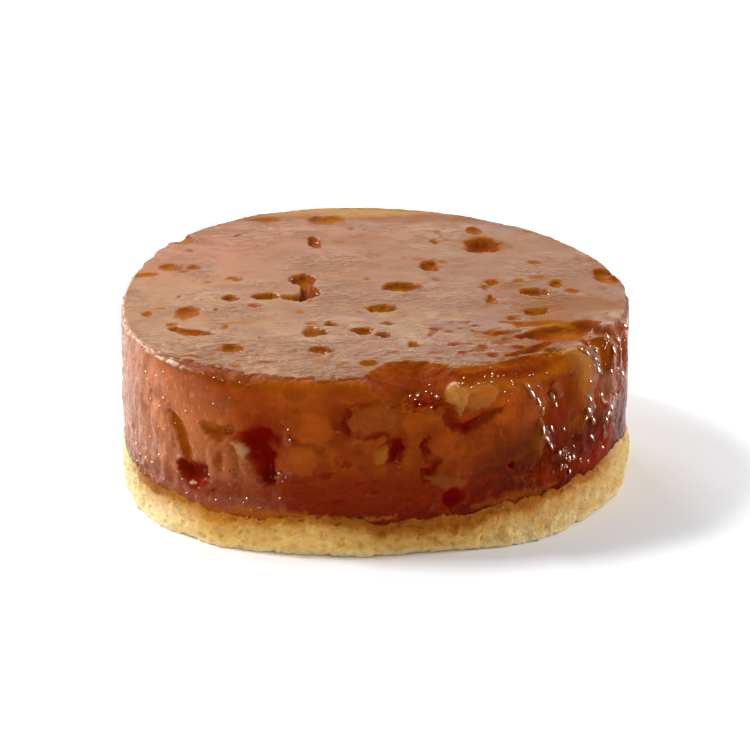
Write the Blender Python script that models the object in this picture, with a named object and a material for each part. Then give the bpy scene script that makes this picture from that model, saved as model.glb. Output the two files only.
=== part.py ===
"""Individual tarte tatin: a thick puck of pressed caramelised apple on a thin shortcrust disc.

Metres, +Z up. The origin is the middle of the underside, on the surface that the tart stands on.
An angle is measured round the tart from its front (-Y) towards its right (+X).
"""
import math

import bmesh
import bpy
from mathutils import Matrix
from mathutils import Vector

# Driving dimensions
HEIGHT = 0.0287            # table to the pressed top of the apples
APPLE_RADIUS_TOP = 0.0402  # mean radius of the apples just under the top edge
APPLE_RADIUS_LOW = 0.0399  # mean radius of the apples where they meet the pastry
PASTRY_RADIUS = 0.0403     # mean radius of the pastry at its fullest
SEAM_HEIGHT = 0.0067       # mean height of the join between pastry and apples
SEAM_GAP = 0.0003          # air kept between the two bodies
PASTRY_UNDER_ROUND = 0.0016   # rounding of the pastry's lower edge
PASTRY_LIP_ROUND = 0.0022     # rounding of the pastry's upper edge
TOP_EDGE_ROUND = 0.0013    # rounding of the apples' top edge
CORNER_SWELL = 0.00125     # three soft corners in the plan
SQUARE_SWELL = 0.0005      # four softer corners over them
TOP_SAG = 0.00045          # how far the pressed top dips between its high spots
SIDE_RELIEF = 0.0005       # how far the apple chunks bulge in the side
SECTORS = 96               # facets round the tart
MIDDLE_X = -0.00095        # middle of the outline, set so that the whole tart is centred
MIDDLE_Y = -0.00086

GOLDEN_PASTRY = (0.62, 0.43, 0.20, 1.0)
CARAMEL_APPLE = (0.33, 0.095, 0.022, 1.0)


def plan_radius(angle, mean):
    """Uneven outline seen from above."""
    swell = CORNER_SWELL * math.cos(3.0 * (angle - math.radians(76)))
    swell += SQUARE_SWELL * math.cos(4.0 * (angle + math.radians(45)))
    return mean + swell


def plan_point(angle, radius, z):
    """Point at a given angle, distance from the middle of the outline, and height."""
    return Vector((MIDDLE_X + radius * math.sin(angle), MIDDLE_Y - radius * math.cos(angle), z))


def smooth_step(low, high, value):
    """Soft ramp from 0 to 1 between two values."""
    t = min(max((value - low) / (high - low), 0.0), 1.0)
    return t * t * (3.0 - 2.0 * t)


def seam_height(angle, share):
    """Height of the join. It is level inside and wavy at the edge; share is the part of the radius."""
    wave = -0.0007 * math.cos(2.0 * angle)
    wave += 0.0006 * math.sin(angle)
    wave += 0.0005 * math.cos(6.0 * angle + math.radians(25))
    return SEAM_HEIGHT + wave * smooth_step(0.55, 1.0, share)


def crumble(angle, row):
    """Small unevenness of the broken pastry edge."""
    value = math.sin(11.0 * angle + 1.7 * row)
    value += 0.7 * math.sin(19.0 * angle - 2.3 * row + 1.0)
    value += 0.5 * math.sin(31.0 * angle + 0.9 * row + 2.0)
    return 0.00016 * value


def chunk_relief(angle, z):
    """Pressed apple chunks in the side: broad slanting bulges that fade out at the top edge."""
    value = math.sin(7.0 * angle + 190.0 * z + 0.6)
    value += 0.8 * math.sin(12.0 * angle - 260.0 * z + 2.1)
    value += 0.5 * math.sin(21.0 * angle + 420.0 * z)
    fade = 1.0 - 0.6 * smooth_step(0.022, HEIGHT, z)
    return SIDE_RELIEF * 0.45 * value * fade


def top_sag(x, y):
    """Dip of the pressed top below its high spots."""
    value = 0.5 + 0.25 * math.sin(170.0 * x + 60.0 * y + 0.4)
    value += 0.25 * math.sin(210.0 * y - 90.0 * x + 1.9)
    return TOP_SAG * value


def ring_at(height_at, radius_at):
    """One closed ring of points, from a height and a radius that both depend on the angle."""
    points = []
    for step in range(SECTORS):
        angle = 2.0 * math.pi * step / SECTORS
        points.append(plan_point(angle, radius_at(angle), height_at(angle)))
    return points


def skin_rings(bm, rings, close_bottom_flat):
    """Extrude a circle of edges through every ring, then close both ends."""
    start = bmesh.ops.create_circle(bm, cap_ends=close_bottom_flat, segments=SECTORS, radius=1.0)
    verts = start["verts"]
    for vert, point in zip(verts, rings[0]):
        vert.co = point
    edges = [edge for edge in bm.edges if edge.verts[0] in verts and edge.verts[1] in verts]
    first_loop = list(verts)
    for points in rings[1:]:
        previous = list(verts)
        made = bmesh.ops.extrude_edge_only(bm, edges=edges)
        new_verts = {item for item in made["geom"] if isinstance(item, bmesh.types.BMVert)}
        edges = [item for item in made["geom"] if isinstance(item, bmesh.types.BMEdge)]
        edges = [edge for edge in edges if edge.verts[0] in new_verts and edge.verts[1] in new_verts]
        verts = []
        for vert in previous:
            above = next(e.other_vert(vert) for e in vert.link_edges if e.other_vert(vert) in new_verts)
            verts.append(above)
        for vert, point in zip(verts, points):
            vert.co = point
    return first_loop, verts


def close_to_middle(bm, loop, z):
    """Close a small ring of points by drawing it together into one point."""
    made = bmesh.ops.extrude_edge_only(
        bm, edges=[e for e in bm.edges if e.is_boundary and e.verts[0] in loop and e.verts[1] in loop])
    new_verts = [item for item in made["geom"] if isinstance(item, bmesh.types.BMVert)]
    bmesh.ops.pointmerge(bm, verts=new_verts, merge_co=(MIDDLE_X, MIDDLE_Y, z))


def make_object(name, bm, colour, roughness):
    """Wrap a closed mesh as a named object with its own material."""
    bmesh.ops.recalc_face_normals(bm, faces=bm.faces)
    mesh = bpy.data.meshes.new(name)
    bm.to_mesh(mesh)
    bm.free()
    mesh.shade_smooth()
    mesh.set_sharp_from_angle(angle=math.radians(50))
    material = bpy.data.materials.new(name)
    material.use_nodes = True
    shader = material.node_tree.nodes["Principled BSDF"]
    shader.inputs["Base Color"].default_value = colour
    shader.inputs["Roughness"].default_value = roughness
    shader.inputs["Metallic"].default_value = 0.0
    mesh.materials.append(material)
    piece = bpy.data.objects.new(name, mesh)
    bpy.context.scene.collection.objects.link(piece)
    return piece


for old in list(bpy.data.objects):
    bpy.data.objects.remove(old, do_unlink=True)

# ---------------------------------------------------------------------------------------------
# Shortcrust base: a thin disc with a flat underside, rounded crumbly edges and a wavy upper rim
# ---------------------------------------------------------------------------------------------
SEAM_SHARES = (0.35, 0.62, 0.82, 0.955)


def pastry_radius(angle, inset, row):
    """Outline of the pastry, drawn in by an inset."""
    return plan_radius(angle, PASTRY_RADIUS) - inset + crumble(angle, row)


def lip_height(angle, share_of_round):
    """Height on the rounded upper edge; 0 is where the rounding starts, 1 is the seam."""
    return seam_height(angle, 1.0) - PASTRY_LIP_ROUND * (1.0 - math.sin(share_of_round * math.pi / 2.0))


pastry_rings = [
    ring_at(lambda a: 0.0, lambda a: pastry_radius(a, PASTRY_UNDER_ROUND, 0)),
    ring_at(lambda a: PASTRY_UNDER_ROUND * 0.30, lambda a: pastry_radius(a, PASTRY_UNDER_ROUND * 0.32, 1)),
    ring_at(lambda a: PASTRY_UNDER_ROUND, lambda a: pastry_radius(a, 0.0002, 2)),
    ring_at(lambda a: lip_height(a, 0.0), lambda a: pastry_radius(a, 0.0, 3)),
    ring_at(lambda a: lip_height(a, 0.45), lambda a: pastry_radius(a, PASTRY_LIP_ROUND * 0.12, 4)),
    ring_at(lambda a: lip_height(a, 0.80), lambda a: pastry_radius(a, PASTRY_LIP_ROUND * 0.40, 5)),
]
for share in reversed(SEAM_SHARES):
    pastry_rings.append(ring_at(
        lambda a, s=share: seam_height(a, s),
        lambda a, s=share: s * plan_radius(a, PASTRY_RADIUS)))

pastry_mesh = bmesh.new()
_, inner_loop = skin_rings(pastry_mesh, pastry_rings, close_bottom_flat=True)
close_to_middle(pastry_mesh, inner_loop, SEAM_HEIGHT)
make_object("pastry_base", pastry_mesh, GOLDEN_PASTRY, 0.85)

# ---------------------------------------------------------------------------------------------
# Apple layer: chunks pressed flush into one puck, flat on top, with a rounded and torn top edge
# ---------------------------------------------------------------------------------------------
SIDE_ROWS = 8
TOP_SHARES = (0.90, 0.76, 0.60, 0.42, 0.22)


def apple_radius(angle, z, inset):
    """Outline of the apples at a height, with the chunks' bulges, drawn in by an inset."""
    height = z / HEIGHT
    mean = APPLE_RADIUS_LOW + (APPLE_RADIUS_TOP - APPLE_RADIUS_LOW) * smooth_step(0.2, 0.8, height)
    return plan_radius(angle, mean) + chunk_relief(angle, z) - inset


def side_height(angle, row):
    """Height of a row of points in the side, evenly shared between the seam and the top edge."""
    foot = seam_height(angle, 1.0) + SEAM_GAP
    return foot + (HEIGHT - TOP_EDGE_ROUND - foot) * row / (SIDE_ROWS - 1)


def edge_ring(turn):
    """One ring on the rounded top edge; turn runs from 0 at the side to 1 at the top."""
    inset = TOP_EDGE_ROUND * (1.0 - math.cos(turn * math.pi / 2.0))
    z = HEIGHT - TOP_EDGE_ROUND * (1.0 - math.sin(turn * math.pi / 2.0))
    return ring_at(lambda a: z, lambda a: apple_radius(a, HEIGHT - TOP_EDGE_ROUND, inset))


def top_ring(share):
    """One ring on the pressed top."""
    points = ring_at(lambda a: HEIGHT, lambda a: share * apple_radius(a, HEIGHT, TOP_EDGE_ROUND))
    for point in points:
        point.z -= top_sag(point.x, point.y) * smooth_step(1.0, 0.85, share)
    return points


apple_rings = []
for share in SEAM_SHARES[:-1]:
    apple_rings.append(ring_at(
        lambda a, s=share: seam_height(a, s) + SEAM_GAP,
        lambda a, s=share: s * plan_radius(a, PASTRY_RADIUS)))
for row in range(SIDE_ROWS):
    apple_rings.append(ring_at(
        lambda a, r=row: side_height(a, r),
        lambda a, r=row: apple_radius(a, side_height(a, r), 0.0004 if r == 0 else 0.0)))
for turn in (0.35, 0.70, 1.0):
    apple_rings.append(edge_ring(turn))
for share in TOP_SHARES:
    apple_rings.append(top_ring(share))

apple_mesh = bmesh.new()
outer_loop, inner_loop = skin_rings(apple_mesh, apple_rings, close_bottom_flat=False)
close_to_middle(apple_mesh, outer_loop, SEAM_HEIGHT + SEAM_GAP)
close_to_middle(apple_mesh, inner_loop, HEIGHT - 0.0002)
apple = make_object("apple_layer", apple_mesh, CARAMEL_APPLE, 0.35)


def cut_hollows(name, target, hollows):
    """Cut a set of uneven rounded hollows that don't touch each other out of a body."""
    bm = bmesh.new()
    for place, size, turn, fineness in hollows:
        stretch = Matrix.Diagonal(Vector((size[0] / 2.0, size[1] / 2.0, size[2], 1.0)))
        to_place = Matrix.Translation(place) @ turn @ stretch
        made = bmesh.ops.create_icosphere(bm, subdivisions=fineness, radius=1.0)
        for vert in made["verts"]:
            wobble = 1.0 + 0.13 * math.sin(4.1 * vert.co.x + 900.0 * place.x)
            wobble += 0.13 * math.sin(4.7 * vert.co.y + 700.0 * place.y)
            vert.co = to_place @ (vert.co * wobble)
    mesh = bpy.data.meshes.new(name)
    bm.to_mesh(mesh)
    bm.free()
    cutter = bpy.data.objects.new(name, mesh)
    cutter.hide_render = True
    cutter.display_type = "WIRE"
    bpy.context.scene.collection.objects.link(cutter)
    cut = target.modifiers.new(name, "BOOLEAN")
    cut.operation = "DIFFERENCE"
    cut.solver = "EXACT"
    cut.object = cutter


def top_pit(x, y, across, along, depth, turn=0.0, fineness=2):
    """A pit in the pressed top: a rounded hollow, its middle a little above the surface (mm, degrees)."""
    place = Vector((x, y, 1000.0 * HEIGHT + depth * 0.12)) / 1000.0
    size = (across / 1000.0, along / 1000.0, depth * 1.12 / 1000.0)
    return place, size, Matrix.Rotation(math.radians(turn), 4, "Z"), fineness


def side_pit(degrees, z, across, tall, depth, lean=0.0, fineness=2):
    """A crevice in the side: a rounded hollow that points inwards (mm, degrees)."""
    angle = math.radians(degrees)
    height = z / 1000.0
    radius = apple_radius(angle, height, 0.0) + depth * 0.1 / 1000.0
    outward = Matrix.Rotation(angle, 4, "Z") @ Matrix.Rotation(math.radians(90), 4, "X")
    turn = outward @ Matrix.Rotation(math.radians(lean), 4, "Z")
    size = (across / 1000.0, tall / 1000.0, depth * 1.1 / 1000.0)
    return plan_point(angle, radius, height), size, turn, fineness


def rim_chip(degrees, across, reach, depth, fineness=2):
    """A piece torn off the top edge: a rounded hollow that points inwards and down (mm, degrees)."""
    angle = math.radians(degrees)
    edge = plan_point(angle, apple_radius(angle, HEIGHT, 0.0), HEIGHT)
    turn = Matrix.Rotation(angle, 4, "Z") @ Matrix.Rotation(math.radians(45), 4, "X")
    return edge, (across / 1000.0, 2.0 * reach / 1000.0, depth / 1000.0), turn, fineness


# Pits left between the chunks in the top: the deep ones in the middle and to the right, then the rest
cut_hollows("top_pits", apple, [
    top_pit(-11.4, 1.6, 4.4, 10.5, 1.8, turn=12, fineness=3),
    top_pit(-17.6, -2.8, 6.0, 3.4, 1.3, turn=-4),
    top_pit(4.0, 2.3, 6.6, 4.7, 1.4, fineness=3),
    top_pit(1.2, -7.4, 5.6, 3.5, 1.3),
    top_pit(8.6, 11.9, 3.2, 5.6, 1.3, turn=-15),
    top_pit(17.0, 21.8, 6.6, 7.0, 1.8, fineness=3),
    top_pit(25.0, 0.0, 5.4, 3.2, 1.5),
    top_pit(29.4, 3.4, 2.4, 4.0, 1.2),
    top_pit(18.4, -3.6, 2.0, 5.2, 1.1),
    top_pit(24.9, -8.8, 5.0, 3.6, 1.3),
    top_pit(-9.5, -17.8, 4.2, 4.2, 1.3),
    top_pit(-2.0, -17.4, 3.5, 3.8, 1.3),
    top_pit(1.2, -18.9, 2.6, 3.0, 1.1),
    top_pit(-1.0, -30.9, 3.2, 3.2, 1.2),
    top_pit(-8.1, -25.6, 4.3, 3.7, 1.2),
    top_pit(-21.9, -24.8, 4.2, 3.7, 1.3),
    top_pit(-28.7, -17.4, 5.2, 3.0, 1.2, turn=-20),
    top_pit(-29.3, -9.4, 3.4, 6.6, 1.2, turn=10),
    top_pit(-22.2, 5.7, 3.8, 2.2, 0.8),
    top_pit(-10.0, 23.2, 2.4, 5.4, 1.1),
    top_pit(31.0, -17.4, 11.3, 4.6, 1.6),
])

# Crevices between the chunks in the side, and the places where the top edge has torn away
cut_hollows("side_crevices", apple, [
    side_pit(-44, 16.3, 1.8, 8.4, 1.8, lean=14),
    side_pit(-40, 11.7, 5.2, 3.4, 2.0, lean=14),
    side_pit(-25, 17.2, 4.2, 8.6, 3.2, lean=6, fineness=3),
    side_pit(-5.5, 22.6, 1.4, 5.0, 1.4, lean=8),
    side_pit(6.5, 17.6, 2.2, 6.2, 2.0, lean=8),
    side_pit(13.5, 15.5, 1.5, 7.6, 1.5, lean=-6),
    side_pit(22.5, 20.7, 7.0, 2.0, 1.6, lean=-12),
    rim_chip(10.5, 13.0, 8.5, 3.4, fineness=3),
    rim_chip(37, 14.0, 4.4, 2.0),
    side_pit(61, 24.5, 1.4, 6.0, 1.5, lean=4),
    side_pit(18.8, 9.0, 3.6, 2.6, 1.6, lean=-25),
    rim_chip(104, 5.0, 4.6, 2.0),
    side_pit(150, 17.2, 4.0, 7.0, 2.0, lean=20),
    side_pit(-152, 13.4, 5.0, 6.0, 2.0, lean=-25),
    side_pit(-105, 18.2, 3.0, 7.0, 1.6, lean=15),
])
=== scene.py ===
import math
import random

import bmesh
import bpy
import numpy as np
from mathutils import Euler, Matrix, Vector
from mathutils import noise


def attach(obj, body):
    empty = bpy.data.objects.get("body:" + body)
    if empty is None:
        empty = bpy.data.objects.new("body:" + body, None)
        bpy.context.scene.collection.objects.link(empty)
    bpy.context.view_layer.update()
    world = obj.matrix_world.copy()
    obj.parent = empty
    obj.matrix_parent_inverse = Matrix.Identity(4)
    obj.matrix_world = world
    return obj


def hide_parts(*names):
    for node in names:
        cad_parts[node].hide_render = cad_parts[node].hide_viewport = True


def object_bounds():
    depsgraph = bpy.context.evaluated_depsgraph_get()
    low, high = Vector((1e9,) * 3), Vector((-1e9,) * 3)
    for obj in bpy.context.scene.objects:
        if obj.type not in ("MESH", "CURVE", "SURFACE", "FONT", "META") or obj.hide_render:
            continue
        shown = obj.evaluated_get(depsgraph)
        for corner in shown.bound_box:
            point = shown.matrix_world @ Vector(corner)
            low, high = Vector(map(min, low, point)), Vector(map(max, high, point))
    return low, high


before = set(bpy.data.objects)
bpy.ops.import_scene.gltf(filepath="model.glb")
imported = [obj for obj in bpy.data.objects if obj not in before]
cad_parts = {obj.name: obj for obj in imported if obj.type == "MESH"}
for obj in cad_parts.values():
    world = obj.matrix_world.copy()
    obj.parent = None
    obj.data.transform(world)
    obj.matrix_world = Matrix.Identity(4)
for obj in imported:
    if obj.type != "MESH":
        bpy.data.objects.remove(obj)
cad_low, cad_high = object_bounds()
scene = bpy.context.scene

# ---------------------------------------------------------------------------------------------
# Pressed apples: chunks cooked in caramel and pressed flush into one puck, 80 mm across.
# One closed skin: a round grid for the pressed top, drawn down over the rounded edge, the side and
# the hidden underside, then pitted, torn and swollen at the named places below (mm and degrees).
# ---------------------------------------------------------------------------------------------
TART_HEIGHT = 28.7
SEAM_HEIGHT = 6.7
SEAM_GAP = 0.05
APPLE_RADIUS = 39.85
SIDE_RADIUS = 40.0
MIDDLE_X = -0.95
MIDDLE_Y = -0.86
BOX_GAP = 0.02
MM = 1000.0
TOP_COLUMNS = 240
TOP_LINES = 140
EDGE_ROWS = 8
SIDE_ROWS = 70
UNDER_ROWS = 3
FAR_OUT = 9.0


def soft_step(low, high, value):
    """Soft ramp from 0 to 1 between two values, for numbers or arrays."""
    t = np.clip((value - low) / (high - low), 0.0, 1.0)
    return t * t * (3.0 - 2.0 * t)


def between(value, low, high, soft):
    """1 between two values and 0 outside them, with soft ends."""
    return soft_step(low - soft, low + soft, value) * soft_step(high + soft, high - soft, value)


def plan_radius(angle, mean):
    """Uneven outline seen from above; the angle runs from the front to the right."""
    swell = 1.25 * np.cos(3.0 * (angle - math.radians(76)))
    return mean + swell + 0.5 * np.cos(4.0 * (angle + math.radians(45)))


def seam_height(angle, share):
    """Height of the join, level inside and wavy at the edge."""
    wave = 0.6 * np.sin(angle) - 0.7 * np.cos(2.0 * angle) + 0.5 * np.cos(6.0 * angle + math.radians(25))
    ring = np.stack([12 * np.sin(angle), 12 * np.cos(angle), 0 * angle], 1)
    wave = wave + 0.6 * ripple(ring, 0.8, 3, 30.0)
    turned = np.degrees(angle)
    wave = wave + 0.8 * between(turned, -50, -38, 6) + 0.8 * between(turned, -20, -10, 5)
    wave = wave - 1.2 * between(turned, 1, 6, 3) + 1.1 * between(turned, 62, 78, 8)
    wave = wave + 0.8 * between(turned, 26, 37, 4)
    return SEAM_HEIGHT + wave * soft_step(0.55, 1.0, share)


def apple_radius(angle, z):
    """Outline of the apples at a height."""
    return plan_radius(angle, APPLE_RADIUS + 0.3 * soft_step(6.0, 24.0, z))


def closed_puck(columns, lines, rows):
    """Round grid with rows of skin hanging from its rim; each vertex keeps its row in -z for now."""
    bm = bmesh.new()
    bmesh.ops.create_grid(bm, x_segments=columns, y_segments=lines, size=1.0)
    for vert in bm.verts:
        x, y = vert.co.x, vert.co.y
        vert.co.x = x * math.sqrt(1.0 - y * y / 2.0)
        vert.co.y = y * math.sqrt(1.0 - x * x / 2.0)
    edges = [edge for edge in bm.edges if edge.is_boundary]
    for _ in range(rows):
        made = bmesh.ops.extrude_edge_only(bm, edges=edges)["geom"]
        verts = [item for item in made if isinstance(item, bmesh.types.BMVert)]
        edges = [item for item in made if isinstance(item, bmesh.types.BMEdge) and item.is_boundary]
        bmesh.ops.translate(bm, verts=verts, vec=(0.0, 0.0, -1.0))
    bmesh.ops.pointmerge(bm, verts=verts, merge_co=(0.0, 0.0, -float(rows)))
    bmesh.ops.recalc_face_normals(bm, faces=bm.faces)
    return bm


def mesh_points(mesh):
    """Vertex positions of a mesh as an array."""
    flat = np.empty(len(mesh.vertices) * 3)
    mesh.vertices.foreach_get("co", flat)
    return flat.reshape(-1, 3)


def made_mesh(name, bm):
    """Mesh made from a bmesh."""
    mesh = bpy.data.meshes.new(name)
    bm.to_mesh(mesh)
    bm.free()
    return mesh


def placed_piece(mesh):
    """Object for a mesh, at the origin and in the scene."""
    piece = bpy.data.objects.new(mesh.name, mesh)
    scene.collection.objects.link(piece)
    return piece


def grid_places(mesh):
    """Row of the skin, share of the way out and angle round for each vertex of a closed puck."""
    start = mesh_points(mesh)
    share = np.minimum(np.hypot(start[:, 0], start[:, 1]), 1.0)
    return np.round(-start[:, 2]), share, np.arctan2(start[:, 0], -start[:, 1])


def set_mesh_points(mesh, points):
    """Write vertex positions back, from millimetres to metres."""
    mesh.vertices.foreach_set("co", (points / MM).ravel())
    mesh.update()


def keep_mask(mesh, name, values):
    """Keep one number for each vertex, for the materials to read."""
    layer = mesh.attributes.new(name, "FLOAT", "POINT")
    layer.data.foreach_set("value", np.clip(values, 0.0, 1.0).astype(np.float32))


def ripple(points, size, octaves=3, seed=0.0):
    """Smooth unevenness between about -1 and 1 with the given wave size in mm."""
    shift = Vector((seed * 7.31, seed * 3.17, seed * 5.73))
    return np.array([noise.fractal(Vector(p) / size + shift, 1.0, 2.0, octaves) for p in points])


puck = closed_puck(TOP_COLUMNS, TOP_LINES, EDGE_ROWS + SIDE_ROWS + UNDER_ROWS)
apple_mesh = made_mesh("pressed_apples", puck)

# rest shape: where each vertex lies before it is carved, and which way is inwards there
row, share, around = grid_places(apple_mesh)
bearing = np.degrees(around)
rim_line = np.stack([12 * np.sin(around), 12 * np.cos(around), 0 * around], 1)
rim_wander = ripple(rim_line, 1.1, 4, 1.0)
edge_round = 0.85 + 1.35 * between(bearing, -44, 76, 12) - 0.05 * between(bearing, -125, -56, 8)
edge_round = edge_round * (1.0 + 0.35 * rim_wander)

turn = np.clip(row / EDGE_ROWS, 0.0, 1.0) * math.pi / 2.0
down = np.clip((row - EDGE_ROWS) / SIDE_ROWS, 0.0, 1.0)
under = np.clip((row - EDGE_ROWS - SIDE_ROWS) / UNDER_ROWS, 0.0, 1.0)
foot = seam_height(around, 1.0) + SEAM_GAP
foot = foot - np.maximum(0.0, 0.1 + 0.5 * ripple(rim_line, 0.5, 3, 25.0)) * between(bearing, -75, 75, 10)
height = TART_HEIGHT - edge_round * (1.0 - np.cos(turn))
height = height - (height - foot) * down
rim_radius = apple_radius(around, TART_HEIGHT)
reach = np.where(row > 0, apple_radius(around, height), share * (rim_radius - edge_round))
reach = reach - np.where(row > 0, edge_round * (1.0 - np.sin(turn)), 0.0)
lift = np.where(row > 0, height + edge_round * (1.0 - np.sin(turn)), TART_HEIGHT + rim_radius - reach)
lift = np.where(under > 0, -90.0, lift)
reach = reach * (1.0 - under)
height = np.where(under > 0, seam_height(around, 1.0 - under) + SEAM_GAP, height)
height[under >= 1] = SEAM_HEIGHT + SEAM_GAP
apple = np.stack([MIDDLE_X + reach * np.sin(around), MIDDLE_Y - reach * np.cos(around), height], 1)
apple_x, apple_y, _ = apple.T
steep = np.where(row > 0, turn, soft_step(0.955, 1.0, share) * 0.2)
inward = np.stack([-np.sin(around) * np.sin(steep), np.cos(around) * np.sin(steep), -np.cos(steep)], 1)
is_top = row <= 0
is_upper = row <= EDGE_ROWS
is_side = (row > 0) & (under <= 0)

# every outline below is drawn through this small wander, so that none of them is smooth
frayed = np.where(is_upper, 0.26, 0.42)
wander_across = 0.55 * ripple(apple, 2.2, 3, 2.0) + frayed * ripple(apple, 0.9, 2, 2.5)
wander_along = 0.55 * ripple(apple, 2.2, 3, 3.0) + frayed * ripple(apple, 0.9, 2, 3.5)
jagged = ripple(apple, 1.4, 4, 28.0)
skin = {name: np.zeros(len(apple)) for name in ("depth", "raised", "torn", "wall", "amber", "red", "pale",
                                                "wet", "seep", "shade", "painted_highlight")}


def side_place(angle, z):
    """Distances along the side and up it from a place; beyond 30 the height runs on over the top."""
    apart = (around - math.radians(angle) + math.pi) % math.tau - math.pi
    return apart * reach + wander_across, lift - z + wander_along


def oval(a, b, across, along, turn):
    """0 in the middle of an oval, 1 on its outline; the turn is anticlockwise."""
    c, s = math.cos(math.radians(turn)), math.sin(math.radians(turn))
    return np.hypot((a * c + b * s) / (across / 2.0), (b * c - a * s) / (along / 2.0))


def side_oval(angle, z, across, tall, turn=0.0):
    """Oval on the side or over the top edge."""
    a, b = side_place(angle, z)
    return oval(a, b, across, tall, turn)


def top_oval(x, y, across, along, turn=0.0):
    """Oval on the pressed top."""
    shape = oval(apple_x - x + wander_across, apple_y - y + wander_along, across, along, turn)
    return np.where(is_upper, shape, FAR_OUT)


def along_line(a, b, points, widths):
    """0 on a line through the points, 1 at half its width from it."""
    nearest = np.full(len(a), FAR_OUT)
    for (x0, y0), (x1, y1), w0, w1 in zip(points, points[1:], widths, widths[1:]):
        length = math.hypot(x1 - x0, y1 - y0)
        t = np.clip(((a - x0) * (x1 - x0) + (b - y0) * (y1 - y0)) / length ** 2, 0.0, 1.0)
        apart = np.hypot(a - x0 - t * (x1 - x0), b - y0 - t * (y1 - y0))
        nearest = np.minimum(nearest, apart / ((w0 + t * (w1 - w0)) / 2.0))
    return nearest


def side_line(places, widths):
    """Line on the side through (degrees, height) places."""
    first = places[0][0]
    a, b = side_place(first, 0.0)
    points = [(math.radians(angle - first) * SIDE_RADIUS, z) for angle, z in places]
    return along_line(a, b, points, widths)


def top_line(points, widths):
    """Line on the pressed top through (x, y) places."""
    shape = along_line(apple_x + wander_across, apple_y + wander_along, points, widths)
    return np.where(is_upper, shape, FAR_OUT)


def stain(name, shape, amount=1.0, soft=0.3):
    """Raise a mask inside an outline."""
    skin[name] = np.maximum(skin[name], amount * soft_step(1.0 + soft, 1.0 - soft, shape))


def press(shape, deep, wall=0.55, amber=1.0, red=0.0, glow=0.0):
    """Sink the skin inside an outline, with walls that slope over a share of it."""
    sunk = soft_step(1.0, 1.0 - wall, shape)
    skin["depth"] = np.maximum(skin["depth"], deep * sunk)
    # the wall mask marks the sloping walls, which get painted shade in the colour
    skin["wall"] = np.maximum(skin["wall"] * (1.0 - sunk), 4.0 * sunk * (1.0 - sunk) * min(deep, 1.0))
    stain("amber", shape * 1.04, amber, 0.12)
    if red:
        stain("red", shape * 0.95, red * 0.75, 0.5)
    # painted glow: a wider red halo round the hole, for light shining through the caramel
    if glow:
        stain("red", shape * 1.15, glow, 0.35)


def tear_edge(angle, across, reach, drop, deep, red=0.0):
    """Wear the top edge down to a slope that runs from the top to the side."""
    a, b = side_place(angle, TART_HEIGHT)
    shape = np.hypot(a / (across / 2.0), np.where(b > 0, b / reach, -b / drop))
    skin["torn"] = np.maximum(skin["torn"], deep * np.clip(1.0 - shape, 0.0, 1.0) ** 0.8)
    stain("amber", shape + 0.12 * jagged, 1.0, 0.12)
    stain("red", shape + 0.12 * jagged, red, 0.15)


def raise_chunk(shape, high, pale=0.0, rim=0.0):
    """Rounded chunk that stands proud of the skin, with a ring of painted shade round it where the
    crevice is.
    """
    if rim:
        stain("shade", np.abs(shape - 1.12) * 5.0, rim, 0.6)
    skin["raised"] = np.maximum(skin["raised"], high * np.sqrt(np.clip(1.0 - shape ** 2, 0.0, 1.0)))
    stain("pale", shape, pale, 0.2)


def press_pits(*pits):
    """Press oval pits into the top: place, size, turn, depth, and any other kind of wall and stain."""
    for x, y, across, along, turn, deep, *kind in pits:
        press(top_oval(x, y, across, along, turn), deep, *kind)


# pits between the chunks in the top, from the back to the front
press_pits(
    (-8.0, 33.1, 6.8, 4.4, 8, 0.5), (-18.2, 33.3, 5.9, 2.6, 4, 0.4, 0.55, 0.6),
    (15.7, 28.2, 2.7, 4.2, 0, 0.6, 0.55, 0.9), (17.1, 21.4, 7.4, 8.0, 0, 1.6, 0.7, 1.0, 0.0, 0.3),
    (-10.0, 23.2, 2.2, 5.2, 10, 0.9, 0.4, 1.0, 0.0, 0.35), (9.3, 23.0, 1.5, 2.3, 0, 0.6, 0.55, 0.8),
    (-31.0, 24.0, 3.9, 4.6, 12, 0.6, 0.55, 0.7), (8.6, 11.9, 3.1, 5.4, 16, 1.1, 0.4),
    (25.2, 13.5, 2.8, 1.6, 0, 0.4, 0.55, 0.6), (-32.5, 11.1, 4.4, 3.4, 0, 0.5, 0.55, 0.8),
    (-28.9, 11.1, 2.5, 2.2, 0, 0.5, 0.55, 0.8), (-36.6, 7.5, 5.6, 1.8, 12, 0.4, 0.55, 0.7),
    (-22.2, 5.7, 3.9, 1.5, 0, 0.4, 0.55, 0.8), (4.0, 2.3, 6.8, 4.4, 3, 1.1, 0.5),
    (-11.6, 5.4, 4.6, 5.0, 6, 1.3, 0.4))
press(top_line([(-10.6, 2.6), (-10.4, -0.6), (-12.0, -3.2)], [2.4, 3.0, 2.2]), 1.7, wall=0.4, glow=0.3)
press_pits(
    (-17.2, -2.2, 5.4, 2.8, 0, 1.1, 0.4), (-13.2, -2.4, 3.2, 2.2, 0, 0.8, 0.55, 0.7),
    (-18.8, -5.9, 2.7, 1.5, 0, 0.5), (-22.7, -2.9, 3.0, 2.6, -30, 0.8), (-25.2, -7.8, 0.8, 1.8, 0, 0.4),
    (-33.3, -7.4, 2.4, 0.8, 0, 0.3, 0.55, 0.8), (-35.6, -10.1, 1.9, 2.2, 0, 0.5, 0.55, 0.8),
    (-29.3, -9.4, 3.6, 6.4, -14, 0.8, 0.7), (-31.8, -14.4, 1.6, 1.4, 0, 0.4))
press(top_line([(-31.0, -16.4), (-28.7, -18.0), (-25.4, -18.2)], [2.0, 3.0, 1.4]), 0.9)
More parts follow.
